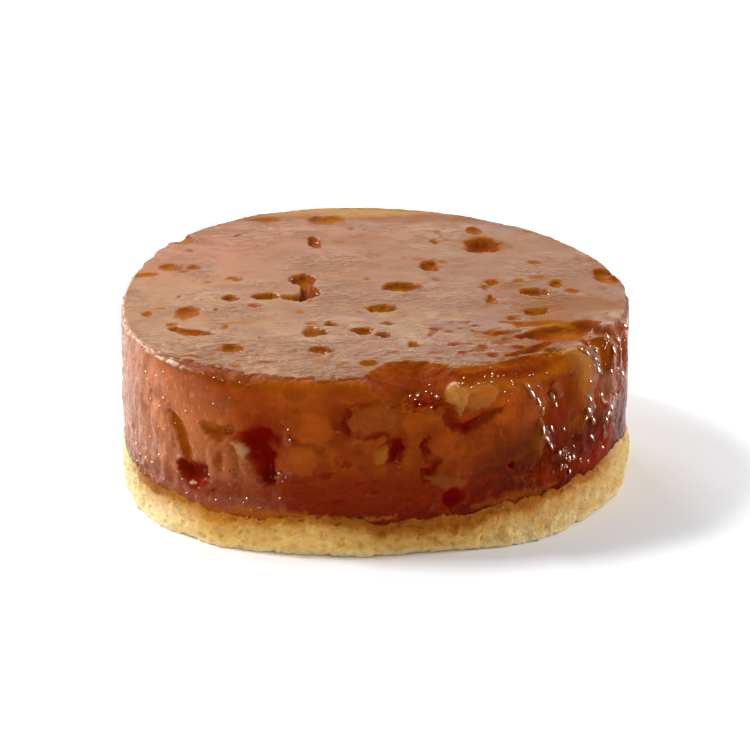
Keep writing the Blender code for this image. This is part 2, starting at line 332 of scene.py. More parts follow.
press_pits(
    (-23.2, -15.5, 1.2, 2.5, 0, 0.5), (-18.1, -20.4, 0.7, 0.9, 0, 0.4),
    (-21.9, -24.8, 4.2, 3.6, 8, 0.9), (-9.5, -17.8, 4.3, 3.8, -22, 1.1, 0.4),
    (-7.1, -14.4, 2.5, 2.0, 0, 0.7), (-11.8, -9.4, 1.5, 1.2, 0, 0.4),
    (-1.5, 5.5, 1.7, 1.0, 0, 0.3, 0.55, 0.8), (1.2, -7.4, 5.8, 3.4, 0, 1.1, 0.4),
    (-2.0, -17.4, 3.4, 3.4, 0, 1.1, 0.4), (1.2, -18.9, 2.7, 2.7, 0, 0.8),
    (1.7, -14.0, 2.8, 1.6, 0, 0.6), (-8.1, -25.4, 4.4, 3.2, -6, 0.9), (-0.9, -30.9, 3.2, 2.8, 8, 0.8),
    (-16.6, -30.5, 3.7, 1.1, 0, 0.3, 0.55, 0.7), (18.4, 4.3, 2.8, 2.4, 0, 0.7),
    (17.1, 2.3, 1.2, 1.3, 0, 0.4), (19.6, 2.0, 1.0, 1.0, 0, 0.3), (18.4, -3.4, 2.0, 5.0, 14, 0.8),
    (22.5, 5.1, 1.8, 1.9, 0, 0.5), (25.6, 6.3, 3.1, 2.2, 0, 0.4, 0.55, 0.7),
    (24.9, 0.0, 5.6, 3.0, -4, 1.2, 0.4), (28.6, 3.7, 2.3, 3.4, -8, 0.9),
    (30.9, 0.6, 2.8, 2.0, 0, 0.5, 0.55, 0.7), (24.9, -8.8, 4.9, 3.4, 0, 1.0, 0.5),
    (21.3, -11.8, 2.4, 1.6, 0, 0.7), (35.9, 8.3, 3.4, 4.8, 20, 1.0, 0.55, 0.9),
    (23.2, 26.1, 2.6, 1.4, 0, 0.3, 0.55, 0.6), (5.9, -23.2, 2.3, 2.0, 0, 0.7),
    (12.0, -23.2, 1.8, 1.4, 0, 0.5, 0.55, 1.0, 0.3), (13.2, -26.6, 1.6, 1.8, 0, 0.5, 0.55, 1.0, 0.3),
    (16.4, -23.8, 1.6, 1.7, 0, 0.5, 0.55, 1.0, 0.4), (17.8, -27.9, 1.8, 1.6, 0, 0.5, 0.55, 1.0, 0.4),
    (21.9, -24.2, 1.9, 1.8, 0, 0.6, 0.55, 1.0, 0.5))
stain("seep", top_oval(-34.4, 9.2, 8.0, 3.4, 12), 0.45, 0.6)
stain("seep", top_oval(-27.0, 14.5, 9.0, 3.0, 8), 0.25, 0.7)
stain("seep", top_oval(-29.3, -9.8, 3.0, 5.0, -14), 0.8, 0.4)
stain("seep", top_line([(-30.4, -16.9), (-28.7, -18.0), (-26.4, -18.2)], [1.2, 2.2, 1.0]), 0.7, 0.4)

# crevices in the side, from the left to the right across the front
raise_chunk(side_oval(-50.5, 16.3, 5.4, 10.5, 8), 0.45, rim=0.4)
press(side_line([(-47.0, 20.2), (-45.4, 19.1), (-43.4, 16.9), (-42.4, 14.4), (-42.4, 12.1)],
                [1.2, 2.4, 2.2, 1.9, 2.6]), 0.9, wall=0.9)
stain("seep", side_line([(-46.2, 19.4), (-43.8, 17.0), (-42.8, 14.6), (-42.6, 12.6)],
                        [0.8, 1.3, 1.2, 0.8]), 0.45, 0.7)
press(side_line([(-44.0, 11.9), (-40.4, 10.6), (-38.0, 11.4)], [1.6, 4.6, 3.4]), 1.4, wall=0.8, red=1.0,
      glow=0.6)
raise_chunk(side_oval(-33.4, 13.6, 5.4, 9.4, 6), 0.5, rim=0.3)
press(side_line([(-37.4, 19.4), (-33.5, 19.2), (-30.6, 19.8)], [2.2, 3.2, 2.2]), 0.7, wall=0.9, amber=0.9)
press(side_oval(-33.4, 14.6, 1.9, 3.0, -15), 0.6, wall=0.9, amber=0.7)
press(side_oval(-24.0, 18.4, 7.4, 6.8, -8), 1.9, wall=0.95, amber=0.7, red=1.0, glow=1.0)
press(side_line([(-23.6, 17.6), (-22.8, 15.0), (-22.6, 12.4)], [5.6, 4.0, 2.4]), 1.7, wall=0.9, red=1.0,
      glow=1.0)
stain("red", side_oval(-22.6, 20.6, 10.0, 6.6), 0.45, 0.8)
raise_chunk(side_line([(-31.8, 18.0), (-29.4, 17.8), (-28.2, 16.7), (-28.0, 14.9), (-26.8, 12.8)],
                      [0.9, 1.5, 1.7, 1.6, 1.0]), 0.6, pale=0.2)
stain("pale", side_line([(-30.0, 18.1), (-28.3, 17.3), (-27.7, 15.8)], [0.5, 1.1, 0.6]), 1.0, 0.5)
# painted highlight along the lit edge of the pale curl
stain("painted_highlight", side_line([(-30.6, 18.2), (-28.7, 17.8), (-27.6, 16.6), (-27.3, 15.4)],
                         [0.3, 0.6, 0.7, 0.3]), 0.10, 0.6)
raise_chunk(side_oval(-15.6, 15.9, 7.4, 5.6, -8), 0.7, pale=0.1, rim=0.6)
raise_chunk(side_oval(-13.0, 21.6, 9.0, 5.0, -12), 0.4, rim=0.3)
press(side_line([(-4.6, 24.4), (-5.6, 22.4), (-4.8, 20.4)], [0.9, 1.5, 1.0]), 0.7, wall=1.0, amber=0.5,
      red=0.9, glow=0.4)
stain("red", side_oval(-6.4, 22.4, 3.0, 5.4), 0.5, 0.8)
press(side_line([(-6.5, 25.3), (-2, 25.4), (2, 25.6), (7, 25.9)], [0.5, 0.8, 0.9, 0.6]), 0.3, amber=0.5,
      red=0.25)
raise_chunk(side_oval(0.6, 22.8, 7.8, 4.6), 0.55, pale=0.1, rim=0.4)
press(side_line([(-0.5, 19.7), (1.6, 20.5), (4.2, 20.0), (4.4, 18.9), (2.2, 18.3)],
                [0.6, 1.0, 1.3, 1.0, 0.5]), 0.6, wall=0.9, amber=0.5, red=0.7)
raise_chunk(side_oval(2.6, 17.0, 2.8, 2.8, -10), 0.5, pale=0.3)
press(side_oval(6.3, 17.8, 2.8, 6.4, -8), 1.3, wall=0.9, amber=0.6, red=1.0, glow=1.0)
press(side_line([(13, 19.6), (12, 18.1), (13, 16.4), (15, 15.3), (14.2, 14.1), (12, 13.7), (12, 12.5),
                 (14.6, 12.1)],
                [0.4, 0.8, 1.1, 1.7, 1.4, 0.8, 0.8, 0.4]), 0.8, wall=0.9, amber=0.4, red=1.0, glow=0.7)
raise_chunk(side_oval(17.6, 17.6, 6.4, 6.0, 10), 0.45, rim=0.25)
press(side_line([(17.9, 23.9), (18.6, 21.4), (21.6, 20.5), (25.0, 21.2), (28.4, 22.6), (31, 23.2)],
                [1.2, 2.0, 2.8, 2.6, 1.4, 0.5]), 1.0, wall=0.9, amber=0.9, red=0.55)
stain("red", side_line([(20.4, 20.8), (22.4, 20.6), (25.4, 21.4)], [0.6, 1.8, 1.0]), 0.85, 0.6)
press(side_oval(19.0, 8.9, 5.4, 3.4, 24), 1.1, wall=0.8, red=1.0, glow=1.0)
raise_chunk(side_line([(14.0, 12.8), (18.0, 11.6), (22.0, 11.2)], [1.2, 2.2, 1.2]), 0.6, pale=0.2)
press(side_oval(33.8, 13.0, 2.1, 2.3), 0.8, wall=0.8, red=1.0, glow=1.0)
press(side_oval(44, 23.5, 3.4, 2.6, 30), 0.6, amber=0.5, red=0.3)
press(side_oval(61.5, 20.1, 4.5, 5.0), 0.9, amber=0.7, red=0.45)
press(side_oval(51.0, 14.0, 3.0, 2.0, 10), 0.7, wall=0.9, red=1.0, glow=0.7)
press(side_oval(56.0, 12.6, 2.4, 1.6, -10), 0.6, wall=0.9, red=1.0, glow=0.6)
for angle, z, across in (
        (-17.0, 10.2, 5.0), (-8.0, 9.4, 7.0), (1.0, 10.8, 5.0), (9.0, 9.6, 6.0), (27.0, 11.4, 4.0),
        (38.0, 10.8, 5.0), (-10.6, 13.6, 3.0)):
    press(side_oval(angle, z, across, 0.8, 4), 0.3, wall=1.0, amber=0.2, red=0.9)
stain("seep", side_line([(-40.0, 5.8), (-30.0, 6.2), (-20.0, 6.7), (-10.0, 6.5), (4.0, 6.4)],
                        [0.4, 1.6, 2.0, 1.0, 0.3]) + 0.5 * jagged, 0.8, 0.7)
stain("seep", side_line([(24.0, 7.4), (32.0, 7.8), (40.0, 7.6), (46.0, 8.2)],
                        [0.6, 1.2, 1.4, 0.6]) + 0.7 * jagged, 0.4, 0.8)
stain("seep", side_oval(39.6, 15.9, 3.0, 5.0, 8), 0.6, 0.6)
stain("seep", side_oval(53.0, 23.6, 4.0, 6.4, -8), 0.35, 0.7)

# torn top edge at the front right: the film has come away and the apples slope down to the side
tear_edge(10.5, 15.0, 8.6, 5.0, 4.2, red=0.3)
stain("red", side_oval(12.6, 26.0, 6.4, 4.2, -20), 0.6, 0.6)
tear_edge(24.0, 10.0, 4.6, 2.6, 1.5, red=0.15)
tear_edge(37.0, 18.0, 4.4, 3.0, 2.0, red=0.12)
stain("red", side_line([(22.0, 30.4), (30.0, 30.2), (40.0, 29.4)], [1.6, 2.4, 1.6]), 0.35, 0.6)
stain("seep", side_line([(26.0, 26.4), (36.0, 26.4), (46.0, 27.4), (52.0, 28.4)], [1.6, 2.4, 2.6, 1.6]),
      0.5, 0.7)
press(top_line([(20.2, -27.6), (23.6, -26.0), (27.0, -22.0)], [1.4, 3.0, 2.0]), 0.7, wall=0.8, red=0.12)
press(top_line([(22.6, -19.6), (28.0, -18.4), (32.0, -16.8), (35.6, -16.4)], [2.4, 8.0, 9.4, 4.2]), 1.3,
      wall=0.7, red=0.2)
press(top_line([(19.0, -13.6), (23.0, -14.4), (27.6, -13.4), (31.0, -14.6)], [0.8, 1.8, 2.2, 0.8]), 0.5,
      amber=0.9)
press(top_line([(15.0, -17.0), (18.4, -18.4), (22.0, -17.2)], [0.8, 1.8, 1.0]), 0.5, amber=0.9, red=0.2)
press(side_line([(60, 30.2), (61, 26.8), (63, 22.6), (64, 19.5)], [4.5, 3.2, 3.0, 2.6]), 1.2, wall=0.6,
      red=0.2)
press(side_line([(71, 28.3), (72, 24.9), (73, 22.0)], [2.6, 3.2, 2.4]), 0.8, amber=0.6, red=0.4)
press(side_oval(100.0, 30.7, 5.0, 4.4, 24), 1.0)
raise_chunk(side_line([(50, 28.0), (53, 25.6), (55, 21.6), (56, 18.2)], [3.0, 4.6, 4.0, 2.4]), 0.5,
            pale=0.3)
raise_chunk(side_line([(19.8, 27.8), (20.2, 26.0), (20.6, 24.4), (20.4, 23.0)], [2.4, 3.0, 1.7, 0.6]),
            1.8, pale=0.75)
stain("pale", side_line([(19.4, 27.6), (19.8, 26.0), (20.2, 24.6)], [1.2, 1.6, 0.6]), 1.0, 0.8)
# painted highlight along the lit top edge of the nub
stain("painted_highlight", side_line([(18.7, 28.2), (20.0, 28.8), (21.4, 28.2)], [0.3, 0.6, 0.3]), 0.5, 0.6)
press(side_oval(23.4, 26.4, 1.4, 2.2), 0.4, wall=1.0, amber=0.8)
raise_chunk(side_oval(25.4, 25.8, 6.4, 5.0, 20), 0.5, pale=0.45)
raise_chunk(side_oval(39.6, 15.9, 3.0, 5.4, 8), 0.8, rim=0.5)
raise_chunk(side_oval(35.0, 22.6, 11.0, 8.0, 12), 0.5, rim=0.3)
raise_chunk(side_oval(25.0, 14.9, 15.0, 7.0, 14), 0.4, rim=0.3)
raise_chunk(side_oval(53.0, 23.3, 6.4, 10.0, -6), 0.6, rim=0.3)
stain("pale", side_line([(51.6, 30.6), (53.4, 27.6), (55.0, 24.0)], [3.0, 3.8, 1.8]), 0.8, 0.6)
stain("seep", side_line([(60.6, 30.0), (61.6, 26.0), (62.6, 22.0)], [2.0, 2.4, 1.6]), 0.5, 0.6)
# painted highlight: pale streaks and a patch on the right side, for the sheen and glints of the wet flesh
# there
for places in (
        ((56.4, 31.0), (57.8, 28.0), (58.6, 24.6), (58.0, 22.6)),
        ((65.6, 32.4), (66.4, 28.6), (66.8, 24.0)), ((70.0, 31.4), (70.8, 27.0), (71.0, 22.4)),
        ((75.6, 31.0), (76.4, 25.0), (76.8, 19.0))):
    stain("painted_highlight", side_line(places, [1.2, 1.7, 1.4, 1.0][:len(places)]), 0.15, 0.9)
stain("painted_highlight", side_oval(66.0, 20.6, 4.0, 3.6), 0.12, 0.8)

# redder, more amber and darker areas of the side
stain("shade", side_line([(26.0, 29.4), (38.0, 29.0), (50.0, 29.6)], [2.0, 3.2, 2.0]), 0.3, 0.8)
for name, angle, z, across, tall, turned, amount, soft in (
        ("red", 44.5, 13.0, 11.0, 8.6, 10, 0.55, 0.5), ("red", 58.0, 11.3, 15.0, 6.6, -4, 0.6, 0.5),
        ("red", 45.0, 19.1, 5.4, 5.6, 0, 0.5, 0.5), ("amber", 50.5, 16.1, 6.4, 3.4, 6, 0.8, 0.4),
        ("red", 1.0, 10.1, 25.0, 5.4, 0, 0.5, 0.6), ("red", -17.0, 11.3, 14.0, 5.0, 8, 0.35, 0.7),
        ("red", -38.0, 9.6, 22.0, 4.0, 4, 0.35, 0.7), ("shade", 34.0, 18.4, 8.0, 5.6, 0, 0.5, 0.8),
        ("shade", 25.0, 12.6, 9.0, 4.4, 0, 0.3, 0.8), ("shade", 9.6, 31.6, 10.0, 4.6, 0, 0.45, 0.8)):
    stain(name, side_oval(angle, z, across, tall, turned), amount, soft)

# wet wrinkled patches, where syrup stands on torn flesh and catches the light
for angle, z, across, tall, amount in (
        (-50, 24.9, 5.0, 2.4, 0.6), (-37, 28.3, 7.0, 1.2, 0.8), (-29, 27.9, 4.0, 1.0, 0.7),
        (-50, 20.7, 5.0, 1.8, 0.9), (-32, 20.5, 3.2, 1.6, 1.0), (-37, 11.5, 3.6, 2.6, 1.0),
        (-20, 13.5, 4.0, 2.0, 1.0), (-18, 20.3, 1.6, 4.0, 0.9), (-23, 12.1, 4.6, 1.4, 0.9),
        (-27, 8.0, 11.0, 2.4, 0.9), (-20, 9.6, 2.0, 2.4, 0.9), (-52, 12.4, 6.0, 7.0, 0.6),
        (-63, 10.5, 10.0, 8.0, 0.7), (-46, 8.4, 12.0, 3.0, 0.7), (-7, 20.7, 1.2, 1.2, 0.9),
        (-2.6, 19.3, 2.0, 1.0, 0.8), (6.0, 15.5, 1.7, 1.6, 1.0), (61.0, 19.5, 2.4, 1.2, 1.0),
        (65.0, 16.6, 5.0, 4.0, 0.9), (46.4, 12.6, 4.0, 1.6, 1.0), (66.5, 30.7, 6.0, 6.0, 0.8),
        (71.0, 20.9, 3.0, 2.6, 1.0), (76.0, 24.9, 5.0, 12.0, 0.7)):
    stain("wet", side_oval(angle, z, across, tall), amount, 0.5)

# strands of wet flesh that stand proud at the right and catch the light along their crests
for places in (
        ((37.0, 26.2), (38.8, 24.2), (41.2, 21.6)), ((40.4, 19.4), (42.0, 16.8), (43.8, 14.6)),
        ((58.6, 29.4), (59.4, 26.4), (60.8, 23.0)), ((54.0, 21.0), (55.2, 18.8), (56.4, 16.6)),
        ((64.4, 28.4), (65.4, 25.6), (66.4, 22.4)), ((44.2, 24.4), (46.0, 22.4)),
        ((46.0, 13.2), (49.6, 11.6)), ((60.0, 19.8), (63.8, 17.0)),
        ((69.0, 27.6), (70.2, 22.6), (71.4, 18.0)), ((74.6, 27.0), (76.0, 20.0)),
        ((61.0, 14.8), (63.0, 12.0)), ((-51.0, 20.6), (-47.6, 20.9)), ((-18.6, 22.0), (-17.6, 19.4))):
    strand = side_line(places, [1.2, 1.9, 1.2][:len(places)])
    raise_chunk(strand, 0.45)
    stain("wet", strand * 1.3, 1.0, 0.3)

# small tears and creases in the film near the front edge, where the amber flesh shows through
tears = random.Random(5)
for _ in range(46):
    size = tears.uniform(0.5, 1.3)
    x, y = tears.uniform(6.0, 35.0), tears.uniform(-31.0, -13.0)
    tear = top_oval(x, y, size * tears.uniform(1.2, 3.4), size, tears.uniform(-10.0, 35.0))
    press(tear, size * 0.35, amber=tears.uniform(0.5, 1.0), red=tears.choice((0.0, 0.4)))
for _ in range(26):
    size = tears.uniform(0.5, 1.0)
    x, y = tears.uniform(-30.0, 6.0), tears.uniform(-36.0, -25.0)
    tear = top_oval(x, y, size * tears.uniform(1.6, 5.0), size, tears.uniform(-14.0, 10.0))
    press(tear, size * 0.3, amber=tears.uniform(0.4, 1.0))

# fine red cracks low on the front, and soft golden flecks above them
for _ in range(70):
    size = tears.uniform(0.3, 0.9)
    red = tears.choice((0.3, 0.7, 1.0))
    angle, z = tears.uniform(-40.0, 46.0), tears.uniform(8.0, 15.5)
    crack = side_oval(angle, z, size * tears.uniform(1.0, 4.0), size, tears.uniform(-35.0, 35.0))
    press(crack, size * 0.4, wall=1.0, amber=0.3, red=red)
for _ in range(26):
    angle, z = tears.uniform(-40.0, 46.0), tears.uniform(13.0, 24.0)
    across, tall = tears.uniform(1.0, 4.0), tears.uniform(0.6, 1.8)
    fleck = side_oval(angle, z, across, tall, tears.uniform(-25.0, 25.0))
    stain("seep", fleck, tears.uniform(0.1, 0.35), 0.8)

# smaller pits and crevices all round, so that the back is as uneven as the front
scatter = random.Random(11)
for _ in range(90):
    place = math.sqrt(scatter.random()) * 37.0
    toward = scatter.uniform(0.0, math.tau)
    size = scatter.uniform(0.4, 1.1)
    x, y = place * math.sin(toward), -place * math.cos(toward)
    pit = top_oval(x, y, size * scatter.uniform(1.0, 2.2), size, scatter.uniform(-25.0, 25.0))
    press(pit, size * 0.35, amber=scatter.uniform(0.3, 0.9))
for _ in range(40):
    size = scatter.uniform(1.0, 3.6)
    red = scatter.choice((0.0, 0.0, 0.6, 1.0))
    angle, z = scatter.uniform(92.0, 285.0), scatter.uniform(9.0, 24.0)
    crevice = side_oval(angle, z, size, size * scatter.uniform(1.2, 2.8), scatter.uniform(-45.0, 45.0))
    press(crevice, size * 0.55, red=red, glow=red * 0.4)
for _ in range(22):
    angle, z = scatter.uniform(92.0, 285.0), scatter.uniform(11.0, 24.0)
    across, tall = scatter.uniform(4.0, 9.0), scatter.uniform(4.0, 9.0)
    chunk = side_oval(angle, z, across, tall, scatter.uniform(-40.0, 40.0))
    raise_chunk(chunk, scatter.uniform(0.3, 0.6), pale=scatter.choice((0.0, 0.0, 0.0, 0.7)))
for _ in range(24):
    angle, z = scatter.uniform(88.0, 290.0), scatter.uniform(8.0, 28.0)
    patch = side_oval(angle, z, scatter.uniform(1.5, 6.0), scatter.uniform(1.5, 5.0))
    stain("wet", patch, scatter.uniform(0.5, 1.0), 0.5)
for _ in range(60):
    angle, z = scatter.uniform(-180.0, 180.0), scatter.uniform(9.0, 27.0)
    across, tall = scatter.uniform(0.3, 0.9), scatter.uniform(0.4, 1.4)
    nick = side_oval(angle, z, across, tall, scatter.uniform(-50.0, 50.0))
    press(nick, scatter.uniform(0.15, 0.4), amber=0.4, red=0.3)

# pressed sheets of chunk in the side: soft steps where one meets the next
noise.seed_set(17)
plates = np.ones(len(apple))
tone = np.full(len(apple), 0.5)
for index in np.nonzero(is_side)[0]:
    spot = Vector(apple[index]) * 0.085 + 0.18 * noise.noise_vector(Vector(apple[index]) * 0.22)
    spot.z *= 1.3
    distances, centres = noise.voronoi(spot)
    plates[index] = min((distances[1] - distances[0]) * 4.0, 1.0)
    tone[index] = 0.5 + 0.5 * noise.cell(centres[0] * 37.0)

# fine relief: broad swell, creases and fibres, all pressed smooth at the front of the side
broad = ripple(apple, 9.0, 2, 5.0)
creases = ripple(apple * np.array((0.45, 1.0, 0.6)) + 0.5 * wander_across[:, None], 1.6, 4, 6.0)
ridges = ripple(apple * np.array((1.0, 1.0, 0.8)), 3.6, 1, 16.0)
fibres = ripple(apple * np.where(is_upper[:, None], (0.3, 1.0, 1.0), (1.0, 1.0, 0.22)), 0.9, 3, 7.0)
grains = ripple(apple, 1.0, 3, 8.0)
smooth_front = between(bearing, -33, 34, 8)
rough_left = between(bearing, -130, -48, 10)
rough_right = between(bearing, 41, 80, 5) * soft_step(24.0, 19.0, lift)
wrinkled_top = between(apple_x, 12, 34, 6) * between(apple_y, -36, -17, 4) * is_upper
folded_front = soft_step(-14.0, -26.0, apple_y) * is_top
film_line = 0.45 + 1.9 * between(bearing, -46, 34, 8) + 0.5 * ripple(rim_line, 0.8, 4, 9.0)
film_front = between(bearing, -60, 60, 10)
film_line = film_line + 0.75 * ripple(apple * np.array((0.6, 1.0, 1.0)), 1.3, 3, 10.0) * film_front
film_line = film_line + 0.85 * ripple(apple * np.array((0.7, 1.0, 1.0)), 0.8, 3, 27.0) * film_front
film_top = soft_step(film_line - 0.15, film_line + 0.15, lift - TART_HEIGHT)
under_film = between(lift - TART_HEIGHT - film_line, -0.9, -0.1, 0.15) * between(bearing, -46, 40, 8)
relief = 0.12 * broad + (0.08 + 0.24 * folded_front) * creases + 0.03 * fibres + 0.26 * film_top
relief = relief + (0.34 * creases + 0.2 * grains) * wrinkled_top
side_relief = 0.14 * broad + (0.05 * creases + 0.03 * fibres) * (1.0 - 0.5 * smooth_front)
side_relief = side_relief - 0.2 * (1.0 - plates) * (1.0 - 0.7 * smooth_front)
low_band = between(lift, 6.0, 12.5, 1.2) * between(bearing, -60, 62, 8)
side_relief = side_relief + (0.26 * creases + 0.10 * grains) * low_band
stain("wet", np.where(low_band > 0.5, 2.0 - 1.9 * ripple(apple, 1.4, 3, 26.0), FAR_OUT), 0.8, 0.3)
rim_lumps = ripple(rim_line, 0.55, 3, 19.0) * soft_step(25.5, 27.5, lift) * (np.abs(bearing) > 84.0)
side_relief = side_relief + 0.45 * rim_lumps
side_relief = side_relief + (0.12 * fibres + 0.16 * grains + 0.14 * ridges) * rough_left
side_relief = side_relief + (0.14 * creases + 0.35 * ridges + 0.06 * grains) * rough_right
upper_share = np.where(is_top, 1.0, soft_step(EDGE_ROWS, 0.0, row)) * (under <= 0)
relief = relief * upper_share + side_relief * (1.0 - upper_share)
relief = relief + skin["wet"] * (0.35 * ridges + 0.04 * grains) + skin["raised"]
relief = np.where(under > 0, 0.0, relief) * (1.0 - 0.75 * np.clip(skin["torn"], 0.0, 1.0))
foot_fade = np.where(is_side, soft_step(1.0, 0.985, down), 1.0) * (under <= 0)
skin_out = (relief - skin["depth"]) * foot_fade
TEAR_SLOPE = 0.71
slope_in = TEAR_SLOPE * np.stack([-np.sin(around), np.cos(around), np.full(len(apple), -1.0)], 1)
carved = apple - inward * skin_out[:, None] + slope_in * (skin["torn"] * (under <= 0))[:, None]
top_limit = MM * cad_high[2] - BOX_GAP
carved[:, 2] = np.minimum(carved[:, 2] - 0.14 * upper_share, top_limit)
low = np.array(cad_low) * MM + BOX_GAP
high = np.array(cad_high) * MM - BOX_GAP
set_mesh_points(apple_mesh, np.clip(carved, low, high))

bright_rim = between(bearing, -98, -47, 5) * between(lift, 28.1, 28.75, 0.25)
skin["wet"] = np.maximum(skin["wet"], bright_rim)
hollow = soft_step(0.15, 0.6, skin["depth"])
stained = np.maximum(skin["amber"], skin["red"])
thin_film = soft_step(6.0, 20.0, apple_x + 5.0 * ripple(apple, 6.0, 3, 14.0))
thin_film = thin_film * soft_step(-18.0, -8.0, apple_y)
top_film = 1.0 - 0.30 * thin_film * soft_step(27.0, 16.0, apple_y)
top_film = top_film * (1.0 - 0.6 * soft_step(29.0, 35.0, apple_y))
top_film = top_film * (0.76 + 0.24 * soft_step(-4.0, 26.0, apple_x))
top_film = top_film * (1.0 - 0.22 * between(apple_x, -22, 34, 6) * between(apple_y, -9, 28, 6))
top_film = top_film * (1.0 + 0.16 * between(apple_x, -18, 16, 6) * between(apple_y, -28, -13, 5))
top_film = top_film * (1.0 - 0.50 * between(apple_x, 20, 32, 4) * between(apple_y, -24, 1, 4))
for x, y, across, along in (
        (-22.7, -25.0, 10.0, 8.0), (-29.4, 12.3, 9.0, 9.0), (36.0, -4.6, 8.0, 10.0),
        (28.0, -13.0, 9.0, 7.0), (17.0, 22.0, 11.0, 10.0), (-3.0, 24.0, 9.0, 5.0), (20.0, 3.0, 9.0, 5.0)):
    worn = soft_step(1.3, 0.4, top_oval(x, y, across, along) + 0.35 * jagged)
    top_film = top_film * (1.0 - 0.38 * worn)
rim_wear = soft_step(0.76, 0.97, share) * (0.55 + 0.45 * soft_step(-20.0, 5.0, apple_x))
rim_wear = rim_wear * soft_step(-0.15, 0.35, ripple(apple, 4.0, 3, 23.0))
patches_worn = 0.35 * soft_step(0.05, 0.55, ripple(apple * np.array((0.5, 1.0, 1.0)), 5.0, 3, 24.0))
top_film = top_film * (1.0 - np.maximum(0.55 * rim_wear, patches_worn))
side_film = 0.7 * soft_step(-38.0, -78.0, bearing) + 0.34 * soft_step(64.0, 80.0, bearing)
side_film = np.where(np.abs(bearing) > 100.0, 0.7, side_film)
side_film = np.maximum(side_film, 0.05 * rough_right)
edge_film = side_film + (0.9 - side_film) * between(bearing, -150, -46, 10)
film = np.where(is_upper & (row > 0), edge_film, np.where(is_side, side_film, 0.0))
film = film * (1.0 - film_top) + film_top * top_film * (1.0 - 0.45 * wrinkled_top)
film = film * (1.0 - 0.95 * np.clip(np.maximum(stained, hollow), 0.0, 1.0))
# the bare flesh shows as an amber band below the film's edge at the front; over it goes painted shade,
# and a painted shadow in a thin line just under the film's edge
amber_rim = (1.0 - film_top) * between(bearing, -52, 44, 8) * soft_step(26.4, 28.4, lift)
skin["shade"] = np.maximum(skin["shade"], 0.40 * amber_rim * soft_step(-0.5, 0.4, broad))
skin["shade"] = np.maximum(skin["shade"], 0.8 * under_film)
keep_mask(apple_mesh, "amber", np.maximum(skin["amber"], 0.95 * amber_rim))
for name in ("red", "pale", "wet", "seep", "shade", "wall"):
    keep_mask(apple_mesh, name, skin[name])
keep_mask(apple_mesh, "tone", tone)
keep_mask(apple_mesh, "film", film)
torn_open = np.clip(skin["torn"] * 3.0, 0.0, 1.0)
keep_mask(apple_mesh, "top", np.where(is_upper, film_top, 0.0) * (1.0 - torn_open))
# painted highlight: a beaded pale line along the top edge at the left, where the rim catches the light
beaded = soft_step(-0.25, 0.35, ripple(apple, 0.9, 3, 17.0))
left_rim_highlight = between(bearing, -104, -44, 5) * between(lift + 0.25 * rim_wander, 27.95, 28.95, 0.2)
keep_mask(apple_mesh, "painted_highlight", np.maximum(left_rim_highlight * beaded, skin["painted_highlight"]))
keep_mask(apple_mesh, "deep", np.clip((skin["depth"] - 0.9) / 2.0, 0.0, 1.0))

# let the steep walls of the pits even out
settle = bmesh.new()
settle.from_mesh(apple_mesh)
settle.verts.ensure_lookup_table()
AXES = ("use_axis_x", "use_axis_y", "use_axis_z")
walls = [settle.verts[index] for index in np.nonzero((skin["depth"] > 0.15) | (skin["raised"] > 0.1))[0]]
for _ in range(2):
    bmesh.ops.smooth_vert(settle, verts=walls, factor=0.5, **dict.fromkeys(AXES, True))
settle.to_mesh(apple_mesh)
settle.free()
apple_mesh.shade_smooth()
pressed_apples = placed_piece(apple_mesh)


def tree_of(*values):
    """Node tree that the first socket among some values belongs to."""
    return next(value.id_data for value in values if isinstance(value, bpy.types.NodeSocket))


def feed(socket, value):
    """Link a socket to another one, or give it a plain number or colour."""
    if isinstance(value, bpy.types.NodeSocket):
        socket.id_data.links.new(value, socket)
    elif isinstance(value, (int, float)):
        socket.default_value = value
    else:
        socket.default_value = (*value, 1.0)


def blend_colour(factor, first, second, how="MIX"):
    """Mix two colours; each may be a plain colour or a socket."""
    mix = tree_of(factor, first, second).nodes.new("ShaderNodeMix")
    mix.data_type = "RGBA"
    mix.blend_type = how
    for index, value in ((0, factor), (6, first), (7, second)):
        feed(mix.inputs[index], value)
    return mix.outputs[2]


def lay_over(colour, *layers):
    """Lay colours over one another, each where its cover is."""
    for cover, laid in layers:
        colour = blend_colour(cover, colour, laid)
    return colour


def combine(how, first, second=0.0):
    """One sum on numbers or sockets."""
    sum_node = tree_of(first, second).nodes.new("ShaderNodeMath")
    sum_node.operation = how
    feed(sum_node.inputs[0], first)
    feed(sum_node.inputs[1], second)
    return sum_node.outputs[0]


def times(first, second):
    """Product of two sockets, or of one and a number."""
    return combine("MULTIPLY", first, second)


def plus(first, second):
    """Sum of two sockets, or of one and a number."""
    return combine("ADD", first, second)


def minus(first, second):
    """Difference of two sockets, or of one and a number."""
    return combine("SUBTRACT", first, second)


def apart_from(value, middle):
    """How far a socket's value lies from a middle."""
    return combine("ABSOLUTE", minus(value, middle))


def noise_at(place, size_mm, detail=3.0, roughness=0.55, stretch=(1.0, 1.0, 1.0), swirl=0.0):
    """Noise with a wave size in millimetres; a stretch above 1 lengthens it along that axis."""
    tree = tree_of(place)
    mapping = tree.nodes.new("ShaderNodeMapping")
    mapping.inputs["Scale"].default_value = tuple(1.0 / s for s in stretch)
    feed(mapping.inputs["Vector"], place)
    texture = tree.nodes.new("ShaderNodeTexNoise")
    set_plain(texture, {"Scale": MM / size_mm, "Detail": detail, "Roughness": roughness,
                        "Distortion": swirl})
    feed(texture.inputs["Vector"], mapping.outputs[0])
    return texture.outputs["Fac"]


